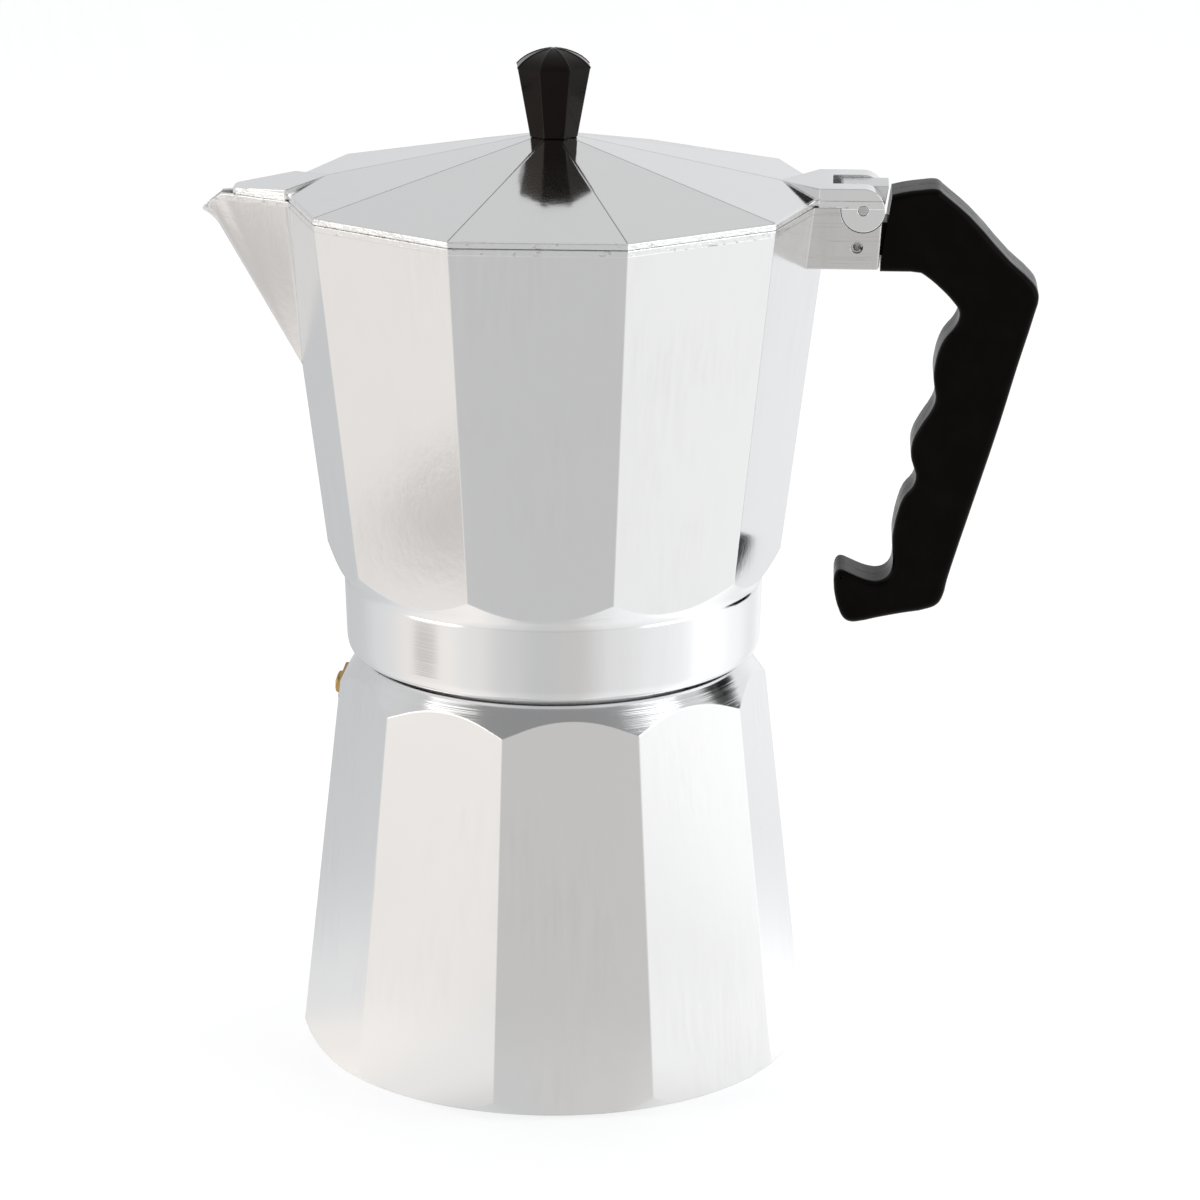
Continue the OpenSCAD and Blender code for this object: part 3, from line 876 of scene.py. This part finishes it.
def sieve(name: str, radius: float, low: float, high: float, rings: int, step: float,
          hole: float, finish: Finish) -> Piece:
    """Make a round plate with rings of small holes.

    Args:
        name: Name of the piece.
        radius: Radius of the plate.
        low: Height of its underside.
        high: Height of its top.
        rings: Number of rings of holes.
        step: Distance between rings.
        hole: Radius of a hole.
        finish: Finish of the plate.

    Returns:
        The drilled plate.
    """
    edge = 0.15
    disc = turned([(0, low), (radius - edge, low), (radius, low + edge), (radius, high - edge),
                   (radius - edge, high), (0, high)], 128)
    plate = Piece(name, disc, finish)
    drill = bmesh.new()
    for ring in range(rings + 1):
        for index in range(max(1, 6 * ring)):
            heading = math.tau * index / max(1, 6 * ring) + ring * 0.37
            place = Matrix.Translation((ring * step * math.cos(heading),
                                        ring * step * math.sin(heading), (low + high) / 2))
            bmesh.ops.create_cone(drill, cap_ends=True, segments=10, radius1=hole, radius2=hole,
                                  depth=high - low + 2, matrix=place)
    return plate.minus(drill, finish)


@dataclass
class Funnel:
    """Coffee basket with its stem and sieve."""

    radius: float = 40.9
    sheet: float = 0.8
    bottom: float = 86.55
    flange: float = 114.55
    stem: float = 6.5

    def build(self) -> None:
        """Make the basket, its stem and its sieve."""
        r, t, z = self.radius, self.sheet, self.bottom
        basket = turned([(r, self.flange), (44.2, self.flange), (44.5, self.flange + 0.25),
                         (44.5, self.flange + 0.75), (44.2, self.flange + 1.0),
                         (r - t + 0.7, self.flange + 1.0), (r - t, self.flange + 0.4),
                         (r - t, z + t + 1.6), (r - t - 1.2, z + t + 0.1), (13.3, z + t - 1),
                         (self.stem, z - 4), (self.stem, z - 8), (7.3, z - 8), (7.3, z - 5),
                         (13.8, z - 1.8), (r - 1.9, z), (r - 0.5, z + 0.5), (r, z + 1.9)],
                        144, closed=True)
        Piece("funnel_bowl", basket, SPUN_METAL).rounded(0.15, 2, 34).fit(
            "funnel", "funnel_basket", slot="spun_aluminium")
        stem = turned([(5.7, 8.6), (5.9, 8.5), (6.3, 8.5), (6.5, 8.7), (6.5, z - 4.6),
                       (6.2, z - 4.1), (5.7, z - 3.6)], 64, closed=True)
        Piece("funnel_tube", stem, SPUN_METAL).fit("funnel", "funnel_stem", slot="spun_aluminium")
        sieve("funnel_sieve", 40.05, 87.42, 88.2, 8, 4.2, 0.75, SPUN_METAL).fit(
            "funnel", "funnel_disc", slot="spun_aluminium")


@dataclass
class SealPack:
    """White seal and the filter plate that it holds."""

    inner: float = 38.6
    outer: float = 46.0
    low: float = 115.6
    high: float = 118.95

    def build(self) -> None:
        """Make the seal and the plate."""
        seal = turned([(self.inner, self.low + 0.4), (self.inner + 0.4, self.low),
                       (self.outer - 0.5, self.low), (self.outer, self.low + 0.5),
                       (self.outer, self.high - 0.5), (self.outer - 0.5, self.high),
                       (self.inner + 0.4, self.high), (self.inner, self.high - 0.4),
                       (self.inner, 117.8), (40.4, 117.8), (40.4, 117.0), (self.inner, 117.0)],
                      144, closed=True)
        Piece("seal_ring", seal, SEAL_WHITE).fit("seal_pack", "gasket", slot="white_seal")
        plate = sieve("filter_sieve", 40.38, 117.02, 117.78, 8, 4.0, 0.6, SPUN_METAL)
        bead = turned([(36.8, 117.2), (37.6, 117.2), (37.6, 118.5), (37.4, 118.7), (37.0, 118.7),
                       (36.8, 118.5)], 144, closed=True)
        plate.plus(bead, SPUN_METAL).fit("seal_pack", "filter_plate", slot="spun_aluminium")


@dataclass
class Spout:
    """Wedge spout: outer shape, hollow, lip and mouth."""

    wall_radius: float = 69.1
    lean: float = 0.126
    half: float = 12.4
    drop: float = 44.5

    def wedge(self, inset: float, top: float) -> bmesh.types.BMesh:
        """Make the wedge, or the hollow in it when it is set in.

        Args:
            inset: How far it is set in from the outside.
            top: Height of its top.

        Returns:
            The wedge.
        """
        low = RIM - self.drop + inset * 1.9
        foot = self.wall_radius - self.lean * (RIM - low) - 0.6 - inset * 0.4
        out = SPOUT_REACH + 0.7 - foot - inset
        half = self.half - inset * 1.15
        mouth = self.wall_radius - 3.5 - foot
        back = 8 + inset * 3
        right = [(back, half + 1.6), (-mouth + 0.6, half + 0.12), (-mouth - 0.2, half - 0.1),
                 (-mouth - 0.9, half - 0.6), (-out * 0.66, half * 0.36), (-out * 0.87, half * 0.2),
                 (-out * 0.96, half * 0.12), (-out * 0.99, half * 0.05)]
        outline = right + [(x, -y) for x, y in reversed(right)]
        bm = bmesh.new()
        face = bm.faces.new([bm.verts.new((x - foot, y, top)) for x, y in outline])
        grown = bmesh.ops.extrude_face_region(bm, geom=[face])
        verts = [item for item in grown["geom"] if isinstance(item, bmesh.types.BMVert)]
        bmesh.ops.translate(bm, verts=verts, vec=(0, 0, low - top))
        bmesh.ops.scale(bm, vec=(0.02, 0.02, 1.0), verts=verts,
                        space=Matrix.Translation((foot, 0, 0)))
        return tidy(bm)

    def lip(self) -> bmesh.types.BMesh:
        """Make the curled pouring lip.

        Returns:
            The lip.
        """
        tip, rim = SPOUT_REACH, RIM
        bm = slab([(-tip + 7.2, rim - 12), (-tip + 5.3, rim - 9.6), (-tip + 4.2, rim - 8.1),
                   (-tip + 3.1, rim - 6.8), (-tip + 2.0, rim - 5.75), (-tip + 1.0, rim - 5.1),
                   (-tip + 0.25, rim - 4.7), (-tip, rim - 4.3), (-tip + 0.1, rim - 3.9),
                   (-tip + 0.6, rim - 3.4), (-tip + 6, rim - 0.6), (-tip + 8, rim - 9)], 8)
        trim_plan(bm, [(-tip + 9, 2.6), (-tip + 3.5, 1.75), (-tip + 1, 1.1), (-tip - 0.3, 0.45)])
        keel = Vector((-tip + 6.0, 0, rim - 11))
        for side in (1, -1):
            trim(bm, keel, Vector((-12.1, side * 34.6, -13.8)).normalized())
        return tidy(bm)

    def mouth(self) -> list[bmesh.types.BMesh]:
        """Make the shapes cut away in front of the lid's roof.

        Returns:
            The sloping top and the groove.
        """
        tip, rim = SPOUT_REACH, RIM
        open_top = slab([(-tip + 4.8, rim + 2), (-tip + 4.8, rim - 0.2), (-tip - 0.4, rim - 4),
                         (-tip - 6, rim - 4), (-tip - 6, rim + 2)], 20)
        groove = slab([(-tip + 9, rim + 2), (-tip + 9, rim - 8), (-tip + 5, rim - 6.4),
                       (-tip - 2, rim - 1.8), (-tip - 2, rim + 2)], 2.2)
        return [open_top, groove]


@dataclass
class Collector:
    """Faceted upper vessel with its collar, spout and hinge bracket."""

    sides: FlatSides = field(default_factory=lambda: FlatSides(69.1, RIM, 0.126))
    spout: Spout = field(default_factory=Spout)
    wall: float = 3.2

    def build(self) -> None:
        """Make the vessel, its socket thread, column and pins."""
        self.vessel()
        self.socket_thread()
        self.column()
        self.pins()

    def vessel(self) -> None:
        """Make the cast vessel in one piece."""
        bm = turned([(0, 123.0), (52.5, 123.0), (52.99, 124.3), (53.15, 125.0), (53.6, 125.9),
                     (54.5, 127.1), (57.29, 131.0), (59.6, 133.7), (62.2, 136.5), (93, 170.3),
                     (93, RIM), (0, RIM)])
        self.sides.shape(bm, 1)
        soften(bm, self.sides.corner_edges(bm), CORNER_ROUND, 4)
        body = Piece("collector_vessel", tidy(bm), COLLAR_METAL, WALL_METAL)
        collar = turned([(0, 105.4), (50.3, 105.4), (51.2, 105.65), (51.9, 106.3), (52.4, 107.4),
                         (52.6, 108.4), (52.7, 109.4), (53.19, 123.4), (53.15, 123.9),
                         (52.99, 124.3), (0, 124.3)])
        body.plus(collar, COLLAR_METAL)
        body.plus(self.spout.wedge(0, RIM), WALL_METAL)
        body.plus(self.spout.lip(), WALL_METAL)
        block = slab([(60.1, 206.5), (81.0, 206.5), (82.0, 222.0), (60.1, 222.0)], 25)
        soften(block, [edge for edge in folded(block, 40)
                       if all(vert.co.x > 80 for vert in edge.verts)
                       or all(vert.co.z < 207 for vert in edge.verts)], 0.6, 2)
        body.plus(block, FILED_METAL)
        tongue = slab([(71.4, 219.0), (71.4, 225.5), (72.1, 226.2), (83.3, 226.2),
                       (82.0, 219.0)], 10.6)
        body.plus(tongue, MACHINED_METAL)
        hollow = turned([(0, 124.0), (46.7, 124.0), (49.3, 125.1), (50.6, 126.4), (52.2, 130),
                         (59.2, 138), (113.2, 198), (113.2, 252), (0, 252)], 192)
        body.minus(self.sides.shrunk(self.wall).shape(hollow), RAW_METAL)
        body.minus(self.spout.wedge(2, RIM + 3), RAW_METAL)
        for shape in self.spout.mouth():
            body.minus(shape, WALL_METAL)
        body.minus(turned([(0, 104), (48.3, 104), (48.3, 105.6), (47.85, 106.0), (47.85, 115.0),
                           (46.1, 115.4), (46.1, 119.0), (36.6, 119.0), (12.5, 120.6), (0, 120.6)],
                          160), MACHINED_METAL)
        body.minus(rod(9.5, 119, 131, 96), MACHINED_METAL)
        for side in (-1, 1):
            pocket = bar(PIN_X, PIN_Z, KNUCKLE + 0.2, 19.2, side * 15.15)
            body.minus(pocket, MACHINED_METAL)
        body.minus(bar(PIN_X, PIN_Z, PIN_RADIUS, BORE_LENGTH, steps=32), MACHINED_METAL)
        mortise = slab([(70.6, 208.6), (86, 208.6), (86, 217.2), (70.6, 217.2)], 11)
        body.minus(mortise, MACHINED_METAL)
        body.minus(bar(ROLL_X, ROLL_Z, ROLL_RADIUS, BORE_LENGTH, steps=32), MACHINED_METAL)
        body.fit("collector", "collector", slot="cast_aluminium")

    def socket_thread(self) -> None:
        """Make the thread inside the collar."""
        root, start = 47.85, 106.9
        thread = helix([(root + 0.4, start), (root + 0.4, start + 1.8), (root, start + 1.8),
                        (root - 1.0, start + 1.05), (root - 1.0, start + 0.75), (root, start)],
                       THREAD_PITCH, 1.6)
        Piece("collector_thread", thread, MACHINED_METAL).fit("collector", slot="cast_aluminium")

    def column(self) -> None:
        """Make the coffee column with its two outlets."""
        top = 196.0
        bm = turned([(7.5, 120.8), (9.5, 120.8), (9.5, 124.05), (12.8, 124.05), (13.0, 124.25),
                     (13.0, 124.8), (12.6, 125.1), (11.6, 125.8), (10.9, 126.6), (10.6, 127.6),
                     (6.95, 191.4), (6.8, 192.6), (6.3, 194.3), (5.3, 195.4), (4.0, 195.9),
                     (2.0, top), (0, top), (0, 193.5), (4.6, 192.0)], 96,
                    closed=True)
        column = Piece("column", bm, MACHINED_METAL)
        column.minus(bar(0, top - 8.5, 2.4, 40, steps=32), RAW_METAL)
        column.fit("collector", "riser_column", slot="spun_aluminium")

    def pins(self) -> None:
        """Make the hinge pin and the slotted pin that holds the handle."""
        pin = bar(PIN_X, PIN_Z, PIN_RADIUS, 25.0, steps=40)
        soften(pin, folded(pin, 60), 0.22, 3)
        Piece("hinge_rod", pin, STEEL).fit("collector", "hinge_pin", slot="steel")
        roll = bmesh.new()
        face = roll.faces.new([roll.verts.new((r, 0.0, z)) for r, z in
                               ((0.95, -11.9), (1.35, -11.9), (ROLL_RADIUS, -11.7),
                                (ROLL_RADIUS, 11.7), (1.35, 11.9), (0.95, 11.9))])
        bmesh.ops.spin(roll, geom=[face], cent=(0, 0, 0), axis=(0, 0, 1), dvec=(0, 0, 0),
                       angle=math.radians(325), steps=30, use_merge=False, use_duplicate=False)
        place = (Matrix.Translation((ROLL_X, 0, ROLL_Z))
                 @ Matrix.Rotation(math.pi / 2, 4, "X"))
        bmesh.ops.transform(roll, matrix=place, verts=roll.verts[:])
        Piece("roll_pin", tidy(roll), STEEL).fit("collector", "handle_pin", slot="steel")


@dataclass
class Lid:
    """Ten-sided lid with its hinge lug, spout roof and locating lip."""

    radius: float = 69.2
    low: float = 222.05
    edge: float = 223.8
    peak: float = 238.3

    def build(self) -> None:
        """Make the lid."""
        bm = turned([(0, self.low), (self.radius - 0.35, self.low), (self.radius, self.low + 0.3),
                     (self.radius, self.edge - 0.25), (self.radius - 0.45, self.edge + 0.1),
                     (5.97, 237.05), (0, 237.05)], 10)
        creases = [edge for edge in bm.edges
                   if abs(edge.verts[0].co.z - edge.verts[1].co.z) > 8]
        strips = soften(bm, creases, 0.3, 1)
        bmesh.ops.inset_region(bm, faces=strips, thickness=0.14, depth=-0.06, use_boundary=True,
                               use_even_offset=True)
        # Slot 1 gives the crease strips the dark finish: painted shade along the creases.
        for face in strips:
            face.material_index = 1
        lid = Piece("lid_plate", bm, LID_METAL, CREASE_PAINTED_SHADE)
        lid.plus(self.lug(), LID_METAL)
        for side in (-1, 1):
            lid.plus(bar(PIN_X, PIN_Z, KNUCKLE, 6.9, side * 9.05), LID_METAL)
        lid.plus(self.roof(), LID_METAL)
        lid.minus(turned([(0, 221.0), (64.0, 221.0), (64.0, 223.3), (8, 235.1), (0, 235.1)], 10),
                  MACHINED_METAL)
        lid.plus(self.locating_lip(), MACHINED_METAL)
        for near, far, width in ((-69.3, -30.0, 30), (30.0, 69.3, 34)):
            lid.minus(slab([(near, 217), (far, 217), (far, 222.02), (near, 222.02)], width),
                      MACHINED_METAL)
        lid.minus(slab([(69.5, 213), (86, 213), (86, 239), (69.5, 239)], 11.2), MACHINED_METAL)
        lid.minus(bar(PIN_X, PIN_Z, PIN_RADIUS + 0.05, BORE_LENGTH, steps=32), MACHINED_METAL)
        lid.minus(rod(2.1, 222, 252, 32), MACHINED_METAL)
        lid.fit("lid", "lid", slot="polished_aluminium", sharp=20)

    def lug(self) -> bmesh.types.BMesh:
        """Make the flared lug over the hinge.

        Returns:
            The lug.
        """
        x0, x1 = self.radius - 12.5, self.radius - 3.0
        top = PIN_Z + KNUCKLE
        crest = self.peak - (self.peak - self.edge) / self.radius * x0
        bm = slab([(x0, self.low), (x0, crest), (x1, top), (PIN_X, top),
                   (PIN_X, self.low)], 25)
        trim_plan(bm, [(x0, 0.2), (x1, 12.5)])
        return tidy(bm)

    def roof(self) -> bmesh.types.BMesh:
        """Make the roof over the spout.

        Returns:
            The roof.
        """
        x0, x1 = -self.radius + 12.5, -self.radius + 3.3
        crest = self.peak + (self.peak - self.edge) / self.radius * x0
        bm = slab([(x0, self.low), (x0, crest), (x1, 224.9), (-SPOUT_REACH + 8.5, 223.65),
                   (-SPOUT_REACH + 8, 223.4), (-SPOUT_REACH + 8, self.low)], 30)
        trim_plan(bm, [(x0, 0.2), (x1, 12.2), (-SPOUT_REACH + 9, 3.8), (-SPOUT_REACH + 8, 2.8)])
        return tidy(bm)

    def locating_lip(self) -> bmesh.types.BMesh:
        """Make the lip that drops inside the mouth, open at the spout and the hinge.

        Returns:
            The lip.
        """
        return turned([(64.935, 219.8), (65.13, 223.4), (63.535, 223.4), (63.535, 219.8)], 10,
                      closed=True)


@dataclass
class Knob:
    """Eight-sided knob with a domed top, its washer and its screw."""

    foot: float = 6.4
    radius: float = 9.75
    low: float = 237.07
    shoulder: float = 254.55
    turn: float = 28.0

    def build(self) -> None:
        """Make the knob, its washer and its screw."""
        bm = turned([(0, self.low), (self.foot - 0.3, self.low), (self.foot, self.low + 0.3),
                     (self.radius, self.shoulder), (0, self.shoulder)], 8)
        fans = [face for face in bm.faces
                if all(vert.co.z > self.shoulder - 0.01 for vert in face.verts)]
        crown = bmesh.ops.dissolve_faces(bm, faces=fans)["region"]
        for inset, rise in ((0.85, 0.95), (1.0, 0.85), (1.15, 0.75), (1.3, 0.65), (1.4, 0.55),
                            (1.5, 0.42)):
            bmesh.ops.inset_region(bm, faces=crown, thickness=inset, depth=rise,
                                   use_even_offset=True, use_boundary=True)
        bmesh.ops.poke(bm, faces=crown, offset=0.12)
        tidy(bm)
        ribs = [edge for edge in folded(bm, 2.0)
                if min(vert.co.z for vert in edge.verts) > self.shoulder - 0.01
                and abs(edge.verts[0].co.z - edge.verts[1].co.z) > 0.05]
        strips = soften(bm, ribs, 0.3, 1)
        bmesh.ops.inset_region(bm, faces=strips, thickness=0.06, depth=0.16, use_boundary=True,
                               use_even_offset=True)
        corners = [edge for edge in bm.edges
                   if abs(edge.verts[0].co.z - edge.verts[1].co.z) > 10]
        soften(bm, corners, 0.3, 2)
        bmesh.ops.rotate(bm, verts=bm.verts[:], cent=(0, 0, 0),
                         matrix=Matrix.Rotation(math.radians(self.turn), 3, "Z"))
        knob = Piece("lid_grip", bm, KNOB_BLACK)
        knob.fit("lid", "lid_knob", slot="black_plastic", sharp=18)
        under = 234.47
        washer = turned([(2.05, under), (4.8, under), (5.0, under + 0.15), (5.0, under + 0.45),
                         (4.8, under + 0.6), (2.05, under + 0.6)], 48, closed=True)
        Piece("knob_ring", washer, STEEL).fit("lid", "knob_washer", slot="steel")
        bolt = turned([(0, under - 2.2), (2.6, under - 2.15), (3.3, under - 1.7),
                       (3.6, under - 1.1), (3.6, under - 0.02), (1.98, under - 0.02),
                       (1.98, under + 13), (0, under + 13)], 48)
        screw = Piece("knob_bolt", bolt, STEEL)
        slot_cut = slab([(-4.5, under - 3.0), (4.5, under - 3.0), (4.5, under - 1.4),
                         (-4.5, under - 1.4)], 0.9)
        screw.minus(slot_cut, STEEL).fit("lid", "knob_screw", slot="steel")


@dataclass
class Handle:
    """Hooked moulded handle with a wavy finger grip."""

    thick: float = 17.0
    edge_round: float = 2.0
    outline: Section = field(default_factory=lambda: [
        (1.0, 2.4), (7.4, 3.1), (10, 3.7), (15, 4.4), (17.6, 4.6), (18.8, 4.3), (19.8, 3.4),
        (26.5, -2.3), (36.5, -13.3), (42.3, -18.7), (43.5, -20.6), (43.9, -22.8), (43, -26.6),
        (39, -40.5), (34.9, -55.5), (28.6, -76.5), (24.2, -91), (22.8, -96), (21.9, -99.8),
        (20.6, -102), (18.3, -103.2), (11.3, -104.6), (5.5, -105.8), (0.7, -106.9), (-1.4, -107),
        (-3, -106.2), (-4.4, -103.6), (-5.3, -100.4), (-5.7, -97.2), (-5.6, -95), (-4.9, -93.6),
        (-3.9, -93.3), (-2, -94), (1, -95.3), (3.4, -96), (5.4, -96.1), (7.2, -95.4), (8.5, -93.8),
        (9, -91.6), (8.9, -88), (8.8, -85), (9.2, -81.9), (9.8, -79), (11.5, -74.1), (13.7, -71.4),
        (14.4, -68.8), (13.9, -66.6), (13.1, -63.7), (13.4, -59.8), (15.3, -55.8), (18.2, -51.1),
        (18.9, -48.8), (18.6, -46), (18.3, -42.9), (18.6, -39.8), (19.4, -36.4), (20.8, -33.3),
        (23.4, -30), (24.3, -27.6), (24.1, -25.9), (22.8, -24.0), (20, -21.0), (16, -17.6),
        (14.6, -16.7), (12, -16.4), (0.5, -16.4)])

    def build(self) -> None:
        """Make the handle from its side outline."""
        curve = bpy.data.curves.new("handle_outline", "CURVE")
        curve.dimensions, curve.fill_mode = "2D", "BOTH"
        curve.extrude = self.thick / 2 - self.edge_round
        curve.bevel_depth, curve.bevel_resolution = self.edge_round, 4
        curve.offset = -self.edge_round
        line = curve.splines.new("BEZIER")
        line.bezier_points.add(len(self.outline) - 1)
        line.use_cyclic_u, line.resolution_u = True, 3
        for point, (reach, height) in zip(line.bezier_points, self.outline):
            point.co = (reach, height, 0)
            point.handle_left_type = point.handle_right_type = (
                "VECTOR" if reach < 8 and height > 0 or -16.8 < height < -16 else "AUTO")
        holder = linked("handle_outline", curve)
        graph = bpy.context.evaluated_depsgraph_get()
        mesh = bpy.data.meshes.new_from_object(holder.evaluated_get(graph))
        bpy.data.objects.remove(holder)
        bpy.data.curves.remove(curve)
        bm = bmesh.new()
        bm.from_mesh(mesh)
        bpy.data.meshes.remove(mesh)
        place = (Matrix.Translation((PIN_X, 0, PIN_Z))
                 @ Matrix.Rotation(math.pi / 2, 4, "X"))
        bmesh.ops.transform(bm, matrix=place, verts=bm.verts[:])
        bmesh.ops.dissolve_limit(bm, angle_limit=math.radians(0.3), verts=bm.verts[:],
                                 edges=bm.edges[:])
        grip = Piece("handle_grip", tidy(bm), HANDLE_BLACK)
        grip.minus(slab([(60, 190), (79.3, 190), (81.35, 203.6), (81.6, 208), (84.1, 224.3),
                         (84.6, 232), (60, 232)], 24), HANDLE_BLACK)
        tongue = slab([(70.8, 208.7), (91.0, 208.7), (91.0, 217.1), (70.8, 217.1)], 10.9)
        soften(tongue, folded(tongue, 60), 0.4, 2)
        grip.plus(tongue, HANDLE_BLACK)
        grip.minus(bar(ROLL_X, ROLL_Z, ROLL_RADIUS, BORE_LENGTH, steps=32), HANDLE_BLACK)
        grip.fit("collector", "handle", slot="black_plastic", sharp=34)


# ---------------------------------------------------------------- studio


@dataclass
class Studio:
    """Pale floor, soft light and the camera."""

    lens: float = 142.96
    shift: float = 0.0389
    pitch: float = 16.33
    heading: float = 3.32
    eye: tuple[float, float, float] = (0.0676, -1.1661, 0.4590)
    floor_glow: float = 0.70
    ceiling_front: float = 0.30
    ceiling_back: float = 0.66
    spout_flag: tuple[float, float, float] = (-0.335, -0.14, 0.0)

    def build(self) -> None:
        """Set up the whole studio."""
        self.camera()
        self.floor()
        self.sky()
        self.lights()
        scene = bpy.context.scene
        scene.view_settings.view_transform = "Standard"
        scene.view_settings.look = "None"

    def camera(self) -> None:
        """Place the camera."""
        data = bpy.data.cameras.new("camera")
        data.lens, data.shift_x, data.sensor_width = self.lens, self.shift, 36.0
        data.clip_start, data.clip_end = 0.01, 50.0
        obj = linked("camera", data)
        obj.location = self.eye
        obj.rotation_euler = (math.radians(90 - self.pitch), 0.0, math.radians(self.heading))
        bpy.context.scene.camera = obj

    def sheet(self, name: str, size: tuple[float, float], place: Matrix,
              material: bpy.types.Material) -> bpy.types.Object:
        """Make a flat sheet that belongs to the studio.

        Args:
            name: Name of the sheet.
            size: Width and depth in metres.
            place: Where it stands.
            material: Its material.

        Returns:
            The sheet.
        """
        bm = bmesh.new()
        bmesh.ops.create_grid(bm, x_segments=1, y_segments=1, size=0.5)
        bmesh.ops.scale(bm, vec=(size[0], size[1], 1), verts=bm.verts[:])
        bmesh.ops.transform(bm, matrix=place, verts=bm.verts[:])
        mesh = bpy.data.meshes.new(name)
        bm.to_mesh(mesh)
        bm.free()
        mesh.materials.append(material)
        obj = linked(name, mesh)
        return obj

    def floor(self) -> None:
        """Lay the pale floor and the toned card that only reflections see."""
        material = bpy.data.materials.new("floor")
        desk = NodeDesk(material)
        desk.join(desk.blend(desk.noise(3.0), (0.40, 0.40, 0.40), (0.42, 0.42, 0.42)),
                  desk.shader.inputs["Base Color"])
        desk.shader.inputs["Roughness"].default_value = 0.9
        desk.shader.inputs["Specular IOR Level"].default_value = 0.1
        desk.shader.inputs["Emission Color"].default_value = (0.985, 0.99, 1.0, 1.0)
        desk.shader.inputs["Emission Strength"].default_value = self.floor_glow
        self.sheet("floor", (16, 16), Matrix.Translation((0, 0, -0.0002)), material)
        card = NodeDesk(bpy.data.materials.new("toned_card"), "ShaderNodeEmission")
        card.join(self.round_tone(card, card.coords), card.shader.inputs["Color"])
        far = card.add("ShaderNodeVectorMath", operation="LENGTH")
        beside = card.add("ShaderNodeVectorMath", operation="DISTANCE")
        beside.inputs[1].default_value = self.spout_flag
        for node in (far, beside):
            card.join(card.coords, node.inputs[0])
        near = card.span(far.outputs["Value"], 0.12, 0.24, 1.08, 1.0)
        shade = card.span(beside.outputs["Value"], 0.03, 0.07, 0.68, 1.0)
        card.join(card.math("MULTIPLY", near, shade), card.shader.inputs["Strength"])
        flag = self.sheet("toned_card", (15.0, 15.0), Matrix.Translation((0, 0, -0.0001)),
                          bpy.data.materials["toned_card"])
        flag.visible_camera = flag.visible_shadow = flag.visible_diffuse = False

    @staticmethod
    def round_tone(desk: NodeDesk, where: bpy.types.NodeSocket) -> bpy.types.NodeSocket:
        """Tone the studio by heading round the pot, from behind on the left to behind again.

        Args:
            desk: Desk of the node tree to add to.
            where: Position or direction socket.

        Returns:
            The colour socket.
        """
        parts = desk.split(where)
        heading = desk.math("ARCTAN2", parts["X"], desk.math("MULTIPLY", parts["Y"], -1.0))
        share = desk.add("ShaderNodeMapRange")
        share.inputs["From Min"].default_value = -math.pi
        share.inputs["From Max"].default_value = math.pi
        desk.join(heading, share.inputs["Value"])
        ramp = desk.add("ShaderNodeValToRGB")
        ramp.color_ramp.interpolation = "EASE"
        stops = [(-180, 0.74, 0.3), (-150, 0.61, 0.6), (-128, 0.64, 0.8), (-100, 0.78, 0),
                 (-80, 0.86, -1.6), (-55, 0.91, -1.6), (-38, 0.83, -0.8), (-20, 0.68, -0.4),
                 (-4, 0.60, 0), (15, 0.61, -0.8), (35, 0.82, -0.2), (60, 0.93, 0), (73, 0.98, 0),
                 (90, 1.25, 0), (118, 1.05, 0.2), (138, 0.90, 0.5), (158, 1.0, 0.3),
                 (180, 0.78, 0.3)]
        points = ramp.color_ramp.elements
        for degrees, tone, cool in stops:
            place = 0.5 + degrees / 360
            point = points[0] if place == 0 else points[-1] if place == 1 else points.new(place)
            point.color = (tone * (1 - 0.025 * cool), tone, tone * (1 + 0.025 * cool), 1)
        desk.join(share.outputs["Result"], ramp.inputs["Fac"])
        return ramp.outputs["Color"]

    def sky(self) -> None:
        """Light the studio from all round, dimmer high up in front."""
        world = bpy.data.worlds.new("studio")
        bpy.context.scene.world = world
        desk = NodeDesk(world, "ShaderNodeBackground", "ShaderNodeOutputWorld")
        where = desk.texture.outputs["Generated"]
        parts = desk.split(where)
        up = desk.span(parts["Z"], 0.22, 0.62)
        back = desk.span(parts["Y"], -0.45, 0.15, self.ceiling_front, self.ceiling_back)
        ceiling = desk.add("ShaderNodeCombineColor")
        for channel in range(3):
            desk.join(back, ceiling.inputs[channel])
        mix = desk.add("ShaderNodeMix", data_type="RGBA")
        desk.join(up, mix.inputs[0])
        desk.join(self.round_tone(desk, where), mix.inputs[6])
        desk.join(ceiling.outputs[0], mix.inputs[7])
        desk.join(mix.outputs[2], desk.shader.inputs["Color"])

    def lights(self) -> None:
        """Hang the soft boxes at the sides and overhead."""
        warm, cool, white = (1.0, 0.97, 0.93), (0.97, 0.99, 1.0), (1.0, 1.0, 1.0)
        for name, place, aim, size, power, colour in (
                ("left_box", (-1.1, -0.55, 0.55), (0, 0, 0.12), (0.7, 1.1), 2.6, warm),
                ("right_box", (1.15, -0.45, 0.6), (0, 0, 0.12), (0.7, 1.1), 3.1, cool),
                ("top_box", (0.1, 0.5, 1.7), (0, 0.3, 0.0), (1.6, 1.6), 7.0, white)):
            data = bpy.data.lights.new(name, "AREA")
            data.shape, data.size, data.size_y = "RECTANGLE", *size
            data.energy, data.color = power, colour
            obj = linked(name, data)
            obj.location = place
            obj.rotation_euler = (Vector(aim) - Vector(place)).to_track_quat("-Z", "Y").to_euler()
            obj.visible_glossy = name != "top_box"


def main() -> None:
    """Build every sub-assembly in order."""
    logging.basicConfig(level=logging.INFO, format="%(name)s: %(message)s")
    for part in (Boiler(), Valve(), Funnel(), SealPack(), Collector(), Handle(), Lid(), Knob()):
        LOG.info("building the %s", type(part).__name__.lower())
        part.build()
    Studio().build()


if __name__ == "__main__":
    main()
